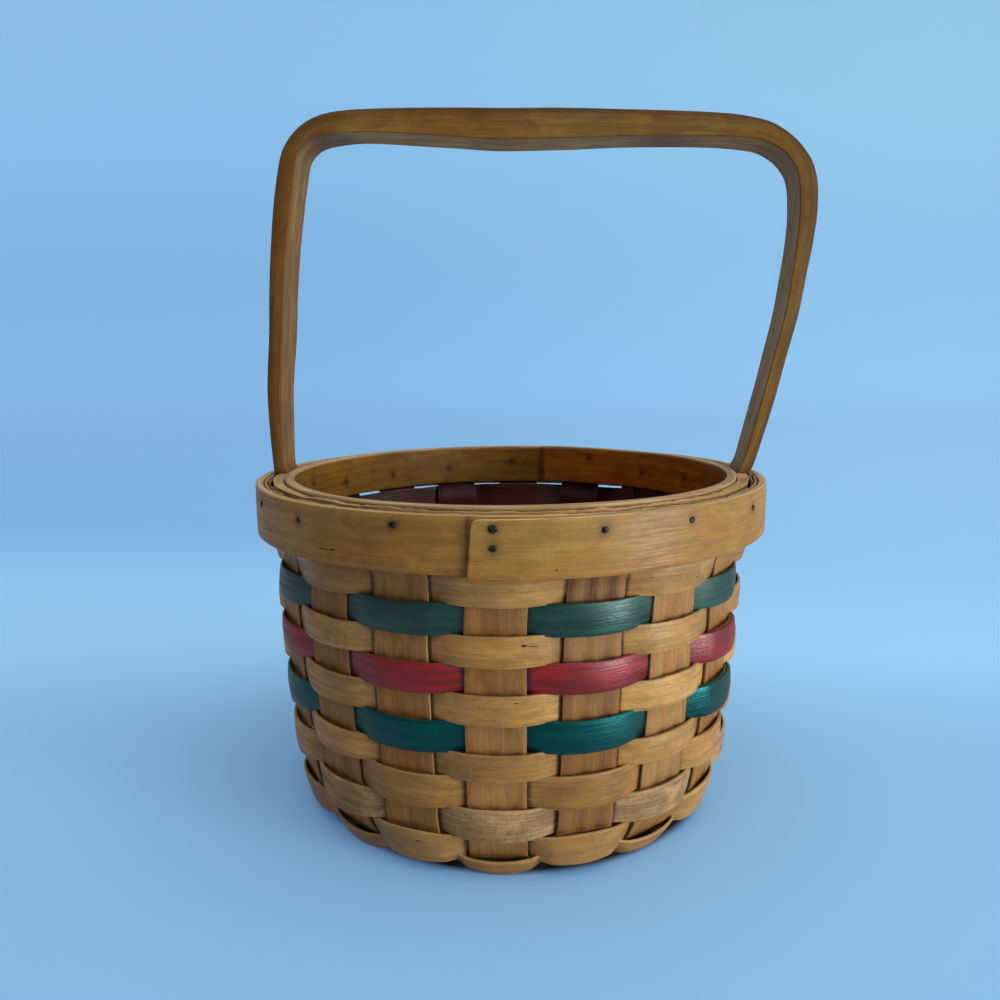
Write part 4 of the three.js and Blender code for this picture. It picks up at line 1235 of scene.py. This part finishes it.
splint_marks = [
    weaver_mark(2, 18.3, 2.0, 1.3, 0.45), weaver_mark(2, 18.37, 1.7, 2.2, 0.18),
    weaver_mark(4, 18.2, 2.9, 1.0, 0.2), weaver_mark(0, 20.2, -1.0, 2.0, 0.16),
    weaver_mark(6, 17.2, 1.4, 1.6, 0.18), weaver_mark(7, 14.9, -1.8, 1.0, 0.35),
    weaver_mark(9, 17.1, 2.2, 1.5, 0.2), weaver_mark(2, 16.1, -2.0, 1.2, 0.22),
]
hoop_marks = [
    (577.0, -4.4, 4.6, 0.24), (581.5, -4.2, 1.5, 0.42), (598.0, -4.5, 14.0, 0.1),
    (26.0, -6.2, 0.5, 0.35), (104.0, -6.8, 0.5, 0.35),
]
print("marks:", len(splint_marks), "on the splints and", len(hoop_marks), "on the outer hoop")

# %% The woods
BROWN = (0.07, 0.021, 0.004)
# Painted shade: darkens and reddens the side of a splint that faces into the basket
INNER_SHADE = (0.15, 0.014, 0.004)
DYED = {"rough": 0.38, "bump": 0.5, "inner": INNER_SHADE, "amber": 0, "gloss": 0.8}

woods = {
    "natural": wood_material(
        "natural_splint", (0.43, 0.262, 0.09), (0.3, 0.16, 0.042), BROWN, (0.42, 0.6, 0.38, 0.24),
        0.36, 0.5, splint_marks, inner=INNER_SHADE,
    ),
    "upright": wood_material(
        "upright_splint", (0.365, 0.205, 0.067), (0.25, 0.126, 0.036), (0.11, 0.034, 0.007),
        (0.45, 0.45, 0.35, 0.16), 0.52, 0.4, inner=INNER_SHADE,
    ),
    "pale": wood_material(
        "pale_splint", (0.41, 0.275, 0.13), (0.24, 0.148, 0.062), BROWN, (0.4, 0.7, 0.6, 0.12),
        0.6, 0.8, inner=INNER_SHADE, amber=0.2, flecks=0.14,
    ),
    "green_grey": wood_material(
        "green_grey_splint", (0.002, 0.049, 0.035), (0.001, 0.016, 0.012), (0.001, 0.006, 0.005),
        (0.8, 0.4, 0.9, 0.35), edge=(0.05, 0.08, 0.06), gloss_colour=(0.65, 1, 0.97), **DYED,
    ),
    "red": wood_material(
        "red_splint", (0.25, 0.004, 0.006), (0.15, 0.002, 0.003), (0.03, 0.001, 0.001),
        (0.7, 0.4, 0.6, 0.22), edge=(0.3, 0.07, 0.05), gloss_colour=(1, 0.75, 0.78), **DYED,
    ),
    "teal": wood_material(
        "teal_splint", (0.0001, 0.030, 0.026), (0.0001, 0.008, 0.008), (0.0001, 0.004, 0.004),
        (0.7, 0.4, 0.6, 0.28), edge=(0.003, 0.09, 0.075), gloss_colour=(0.1, 1, 1), **DYED,
    ),
    "hoop": wood_material(
        "hoop_wood", (0.377, 0.232, 0.06), (0.288, 0.16, 0.034), BROWN, (0.55, 0.55, 0.32, 0.12),
        0.42, 0.35, hoop_marks, edge=(0.6, 0.43, 0.21),
    ),
    "inner_hoop": wood_material(
        "inner_hoop_wood", (0.2, 0.105, 0.015), (0.135, 0.058, 0.006), (0.04, 0.01, 0.002),
        (0.6, 0.35, 0.45, 0.15), 0.46, 0.3, edge=(0.6, 0.43, 0.23), inner=(2.35, 1.25, 0.2),
        gloss=0.25,
    ),
    "filler": wood_material(
        "filler_wood", (0.42, 0.26, 0.1), (0.2, 0.1, 0.03), (0.04, 0.012, 0.003),
        (0.6, 0.8, 0.5, 0.2), 0.7, 0.5, edge=(0.62, 0.44, 0.22),
    ),
    # The handle's inner side is painted paler and bluer: painted bounce light from the sheet
    "handle": wood_material(
        "handle_wood", (0.14, 0.073, 0.016), (0.08, 0.036, 0.007), (0.12, 0.032, 0.004),
        (0.6, 0.45, 0.45, 0.15), 0.46, 0.4, edge=(0.16, 0.09, 0.03), inner=(2.8, 3.8, 3.9),
        gloss=0.3, amber=0.8,
    ),
}
for piece, wood_name in zip(weavers, ROW_WOODS):
    paint([piece], woods[wood_name])
paint(strips, woods["upright"])
paint([outer_hoop], woods["hoop"])
paint([inner_hoop], woods["inner_hoop"])
paint(fillers, woods["filler"])
paint([handle], woods["handle"])
print("woods:", len(woods))

# %% [markdown]
# ## Nail steel
#
# The heads are dull and dark with a greenish cast. A plain dark paint would make them look like
# holes, so they are metal, and noise in the head's own size mottles the colour and roughness,
# which breaks up the small highlight on each head.

# %% Nail material
steel = bpy.data.materials.new("nail_steel")
steel.use_nodes = True
steel_tree = steel.node_tree
steel_shader = steel_tree.nodes["Principled BSDF"]
mottle = scaled_noise(steel_tree, carried(steel_tree, "grain"), (1400, 1400, 1400), 3.0)
mottle_share = ramp(steel_tree, mottle, 0.4, 0.65)
steel_colour = blend(steel_tree, mottle_share, (0.006, 0.008, 0.006, 1), (0.05, 0.066, 0.045, 1))
steel_tree.links.new(steel_colour, steel_shader.inputs["Base Color"])
steel_tree.links.new(ramp(steel_tree, mottle, 0.35, 0.65, 0.35, 0.6), steel_shader.inputs["Roughness"])
steel_shader.inputs["Metallic"].default_value = 0.75
paint(nails, steel)
print("steel made")

# %% [markdown]
# ## The floor
#
# The basket stands on one plain sheet that lies flat, and far behind it curves up, so there is no
# line where floor and wall meet. It could be lit until it looks as pale as in the picture, but that
# light would fall on the basket too. So the sheet has two colours. To the camera it shows painted
# light: its colour in broad steps from near to far and up its rise, a painted falloff that leaves
# the left darker, a painted pool of light behind the basket, and a painted blue glow. To all other
# light it is a plain grey that doesn't colour the wood. Right under the basket it is painted dark
# as shade, so that it doesn't glow through the slits of the weave.

# %% Sheet
HALF_WIDTH, FRONT_END, REACH = 4, -3, 5
BEND_START, BEND_RADIUS = 2.2, 1.6
COLUMNS, ROWS = 41, 81

widths, depths = np.linspace(-HALF_WIDTH, HALF_WIDTH, COLUMNS), np.linspace(FRONT_END, REACH, ROWS)
u, v = np.meshgrid(widths, depths, indexing="ij")
past = np.clip(v - BEND_START, 0, None)
bent = np.clip(past / BEND_RADIUS, 0, np.pi / 2)
above = BEND_RADIUS * (1 - np.cos(bent)) + np.clip(past - BEND_RADIUS * np.pi / 2, 0, None)
sheet_points = np.stack([u, np.minimum(v, BEND_START) + BEND_RADIUS * np.sin(bent), above], -1)
index = np.arange(COLUMNS - 1)[:, None] * ROWS + np.arange(ROWS - 1)[None, :]
sheet_faces = np.stack([index, index + ROWS, index + ROWS + 1, index + 1], -1).reshape(-1, 4)
floor_mesh = bpy.data.meshes.new("floor")
floor_mesh.from_pydata(sheet_points.reshape(-1, 3).tolist(), [], sheet_faces.tolist())
floor_mesh.polygons.foreach_set("use_smooth", np.ones(len(sheet_faces), bool))
floor = bpy.data.objects.new("floor", floor_mesh)
bpy.context.scene.collection.objects.link(floor)
floor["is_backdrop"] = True
print("sheet faces:", len(sheet_faces))

# %% Colours of the sheet
paper = bpy.data.materials.new("pale_paper")
paper.use_nodes = True
sheet = paper.node_tree
paper_shader = sheet.nodes["Principled BSDF"]
sheet_place = add(sheet, "ShaderNodeTexCoord").outputs["Object"]
sheet_parts = add(sheet, "ShaderNodeSeparateXYZ", {0: sheet_place}).outputs
behind_it, up_it = sheet_parts["Y"], sheet_parts["Z"]
rays = add(sheet, "ShaderNodeLightPath").outputs

# Painted falloff of light from left to right, as a fan that opens from in front of the basket
fan_width = calc(sheet, "MAXIMUM", calc(sheet, "ADD", behind_it, 0.45), 0.2)
painted_falloff = ramp(sheet, calc(sheet, "DIVIDE", sheet_parts["X"], fan_width), -0.4, 0.45)
# A painted pool of light just behind the basket
painted_light_pool = times(sheet, ramp(sheet, behind_it, 0.0, 0.16), ramp(sheet, behind_it, 0.55, 0.14))
# Painted light in steps: near to far and up the rise, each step paler on the right by the painted
# falloff
SHEET_PAINTED_LIGHT = [
    (ramp(sheet, behind_it, 0.0, 0.5), (0.215, 0.47, 0.745), (0.328, 0.64, 0.92)),
    (painted_light_pool, (0.355, 0.69, 0.97), (0.355, 0.69, 0.97)),
    (ramp(sheet, behind_it, 0.5, 2.1), (0.222, 0.46, 0.725), (0.295, 0.585, 0.85)),
    (ramp(sheet, up_it, 0.0, 0.3), (0.208, 0.43, 0.672), (0.279, 0.549, 0.792)),
    (ramp(sheet, up_it, 0.4, 1.75), (0.339, 0.672, 1.0), (0.395, 0.77, 1.0)),
]
speckle = scaled_noise(sheet, sheet_place, (90, 90, 90), 3.0)
seen_colour = blend(sheet, speckle, (0.26, 0.525, 0.76, 1), (0.27, 0.535, 0.77, 1))
for mask, left, right in SHEET_PAINTED_LIGHT:
    seen_colour = blend(sheet, mask, seen_colour, blend(sheet, painted_falloff, (*left, 1), (*right, 1)))
paper_colour = blend(sheet, rays["Is Camera Ray"], (0.37, 0.375, 0.37, 1), seen_colour)

# Painted shade under the basket: dark, with a soft edge just inside its foot
from_axis = add(sheet, "ShaderNodeVectorMath", {0: sheet_place, 1: tuple(AXIS)}, operation="DISTANCE")
beyond_painted_shade = ramp(sheet, from_axis.outputs["Value"], 0.076, 0.0805)
paper_colour = blend(sheet, beyond_painted_shade, (0.02, 0.025, 0.03, 1), paper_colour)
sheet.links.new(paper_colour, paper_shader.inputs["Base Color"])

# A little painted blue glow, which only the camera and reflections see
shown = calc(sheet, "ADD", rays["Is Camera Ray"], rays["Is Glossy Ray"])
shown = calc(sheet, "ADD", shown, rays["Is Transmission Ray"])
painted_blue_glow = blend(sheet, times(sheet, shown, beyond_painted_shade), (0, 0, 0, 1), (0.04, 0.09, 0.2, 1))
sheet.links.new(painted_blue_glow, paper_shader.inputs["Emission Color"])
paper_shader.inputs["Emission Strength"].default_value = 1.0
paper_shader.inputs["Roughness"].default_value = 0.85
paper_shader.inputs["Specular IOR Level"].default_value = 0.2
paint([floor], paper)
print("floor made")

# %% [markdown]
# ## Light
#
# The picture was taken in a room. A window low on the right gives the soft shading round the
# basket, a narrow pane of it the brighter streak, the wall beside it and the ceiling fill the rest,
# and the room itself gives a weak light from everywhere. These are far away, so each is a distant
# lamp that looks as wide as the real thing. The silvery shine on the dyed rows needs something
# low and near, which is a small pane of light that stands by the floor on the right.

# %% Lights
ROOM_COLOUR, ROOM_STRENGTH = (1.0, 0.99, 0.97, 1), 0.18

world = bpy.data.worlds.new("room")
bpy.context.scene.world = world
world.use_nodes = True
world.node_tree.nodes["Background"].inputs["Color"].default_value = ROOM_COLOUR
world.node_tree.nodes["Background"].inputs["Strength"].default_value = ROOM_STRENGTH


def hang(light, place, shine):
    """Puts a lamp at a place and turns it so that it shines along a direction."""
    lamp = bpy.data.objects.new(light.name, light)
    bpy.context.scene.collection.objects.link(lamp)
    lamp.location = place
    lamp.rotation_mode = "QUATERNION"
    lamp.rotation_quaternion = shine.to_track_quat("-Z", "Y")


def far_light(name, azimuth, elevation, spread, strength, colour):
    """A distant light from a direction given by its turn from the front towards the right and its
    height, both in degrees. The spread is how wide it looks, which sets how soft its shadows are."""
    light = bpy.data.lights.new(name, "SUN")
    light.angle, light.energy, light.color = np.radians(spread), strength, colour
    turn, lift = np.radians(azimuth), np.radians(elevation)
    toward = Vector((np.sin(turn) * np.cos(lift), -np.cos(turn) * np.cos(lift), np.sin(lift)))
    hang(light, toward * 2, -toward)


far_light("window", 60, 11, 30, 1.06, (1.0, 0.985, 0.955))
far_light("window_pane", 66, 4, 8, 0.5, (1.0, 0.99, 0.97))
far_light("bright_wall", 66, 22, 100, 0.75, (1.0, 0.98, 0.95))
far_light("ceiling", 20, 82, 70, 1.25, (1.0, 0.995, 0.99))

low_pane = bpy.data.lights.new("low_pane", "AREA")
low_pane.shape, low_pane.size, low_pane.size_y, low_pane.energy = "RECTANGLE", 0.14, 0.06, 0.62
hang(low_pane, Vector(AXIS) + Vector((0.455, -0.268, 0.042)), Vector((-0.408, 0.19, 0.0)))
print("lights made:", len(bpy.data.lights))

# %% [markdown]
# ## Camera
#
# The camera was worked out from the picture: where it stands, how far it looks down and the
# length of its lens. Its three directions are built from a turn, a downward tilt and a slight
# roll, and written into its matrix.

# %% Camera
TURN, TILT, ROLL = 0.056288, 0.161967, -0.0071576
IMAGE_PIXELS, LENS_PIXELS, SENSOR_WIDTH = 1000, 858.6, 36
CAMERA_PLACE = [15.169, -343.523, RIM_HEIGHT + 44.735]  # millimetres from the axis and the floor

right = np.array([np.cos(TURN), np.sin(TURN), 0])
level = np.array([-np.sin(TURN), np.cos(TURN), 0])
forward = level * np.cos(TILT) - np.array([0, 0, np.sin(TILT)])
upward = level * np.sin(TILT) + np.array([0, 0, np.cos(TILT)])
camera_right = right * np.cos(ROLL) + upward * np.sin(ROLL)
camera_up = -right * np.sin(ROLL) + upward * np.cos(ROLL)
place = np.array(CAMERA_PLACE) / 1000 + AXIS
camera_data = bpy.data.cameras.new("camera")
camera_data.sensor_width = SENSOR_WIDTH
camera_data.lens = LENS_PIXELS / IMAGE_PIXELS * SENSOR_WIDTH
camera_data.clip_start, camera_data.clip_end = 0.02, 20
camera = bpy.data.objects.new("camera", camera_data)
bpy.context.scene.collection.objects.link(camera)
columns = np.eye(4)
columns[:3] = np.stack([camera_right, camera_up, -forward, place], -1)
camera.matrix_world = Matrix(columns.tolist())
bpy.context.scene.camera = camera
bpy.context.scene.view_settings.view_transform = "Standard"
print("camera at", np.round(place, 3), "lens", round(camera_data.lens, 2))

# %% [markdown]
# ## Sizes and the end
#
# The box of the dressed basket is printed at the end, with the number of its faces. The
# dressed basket has to stay the size of the model.

# %% Print the visual box and finish
bpy.context.view_layer.update()
low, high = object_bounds()
total = sum(len(piece.data.polygons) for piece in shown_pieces())
print("visual box", list(low), list(high), "faces in all:", total)
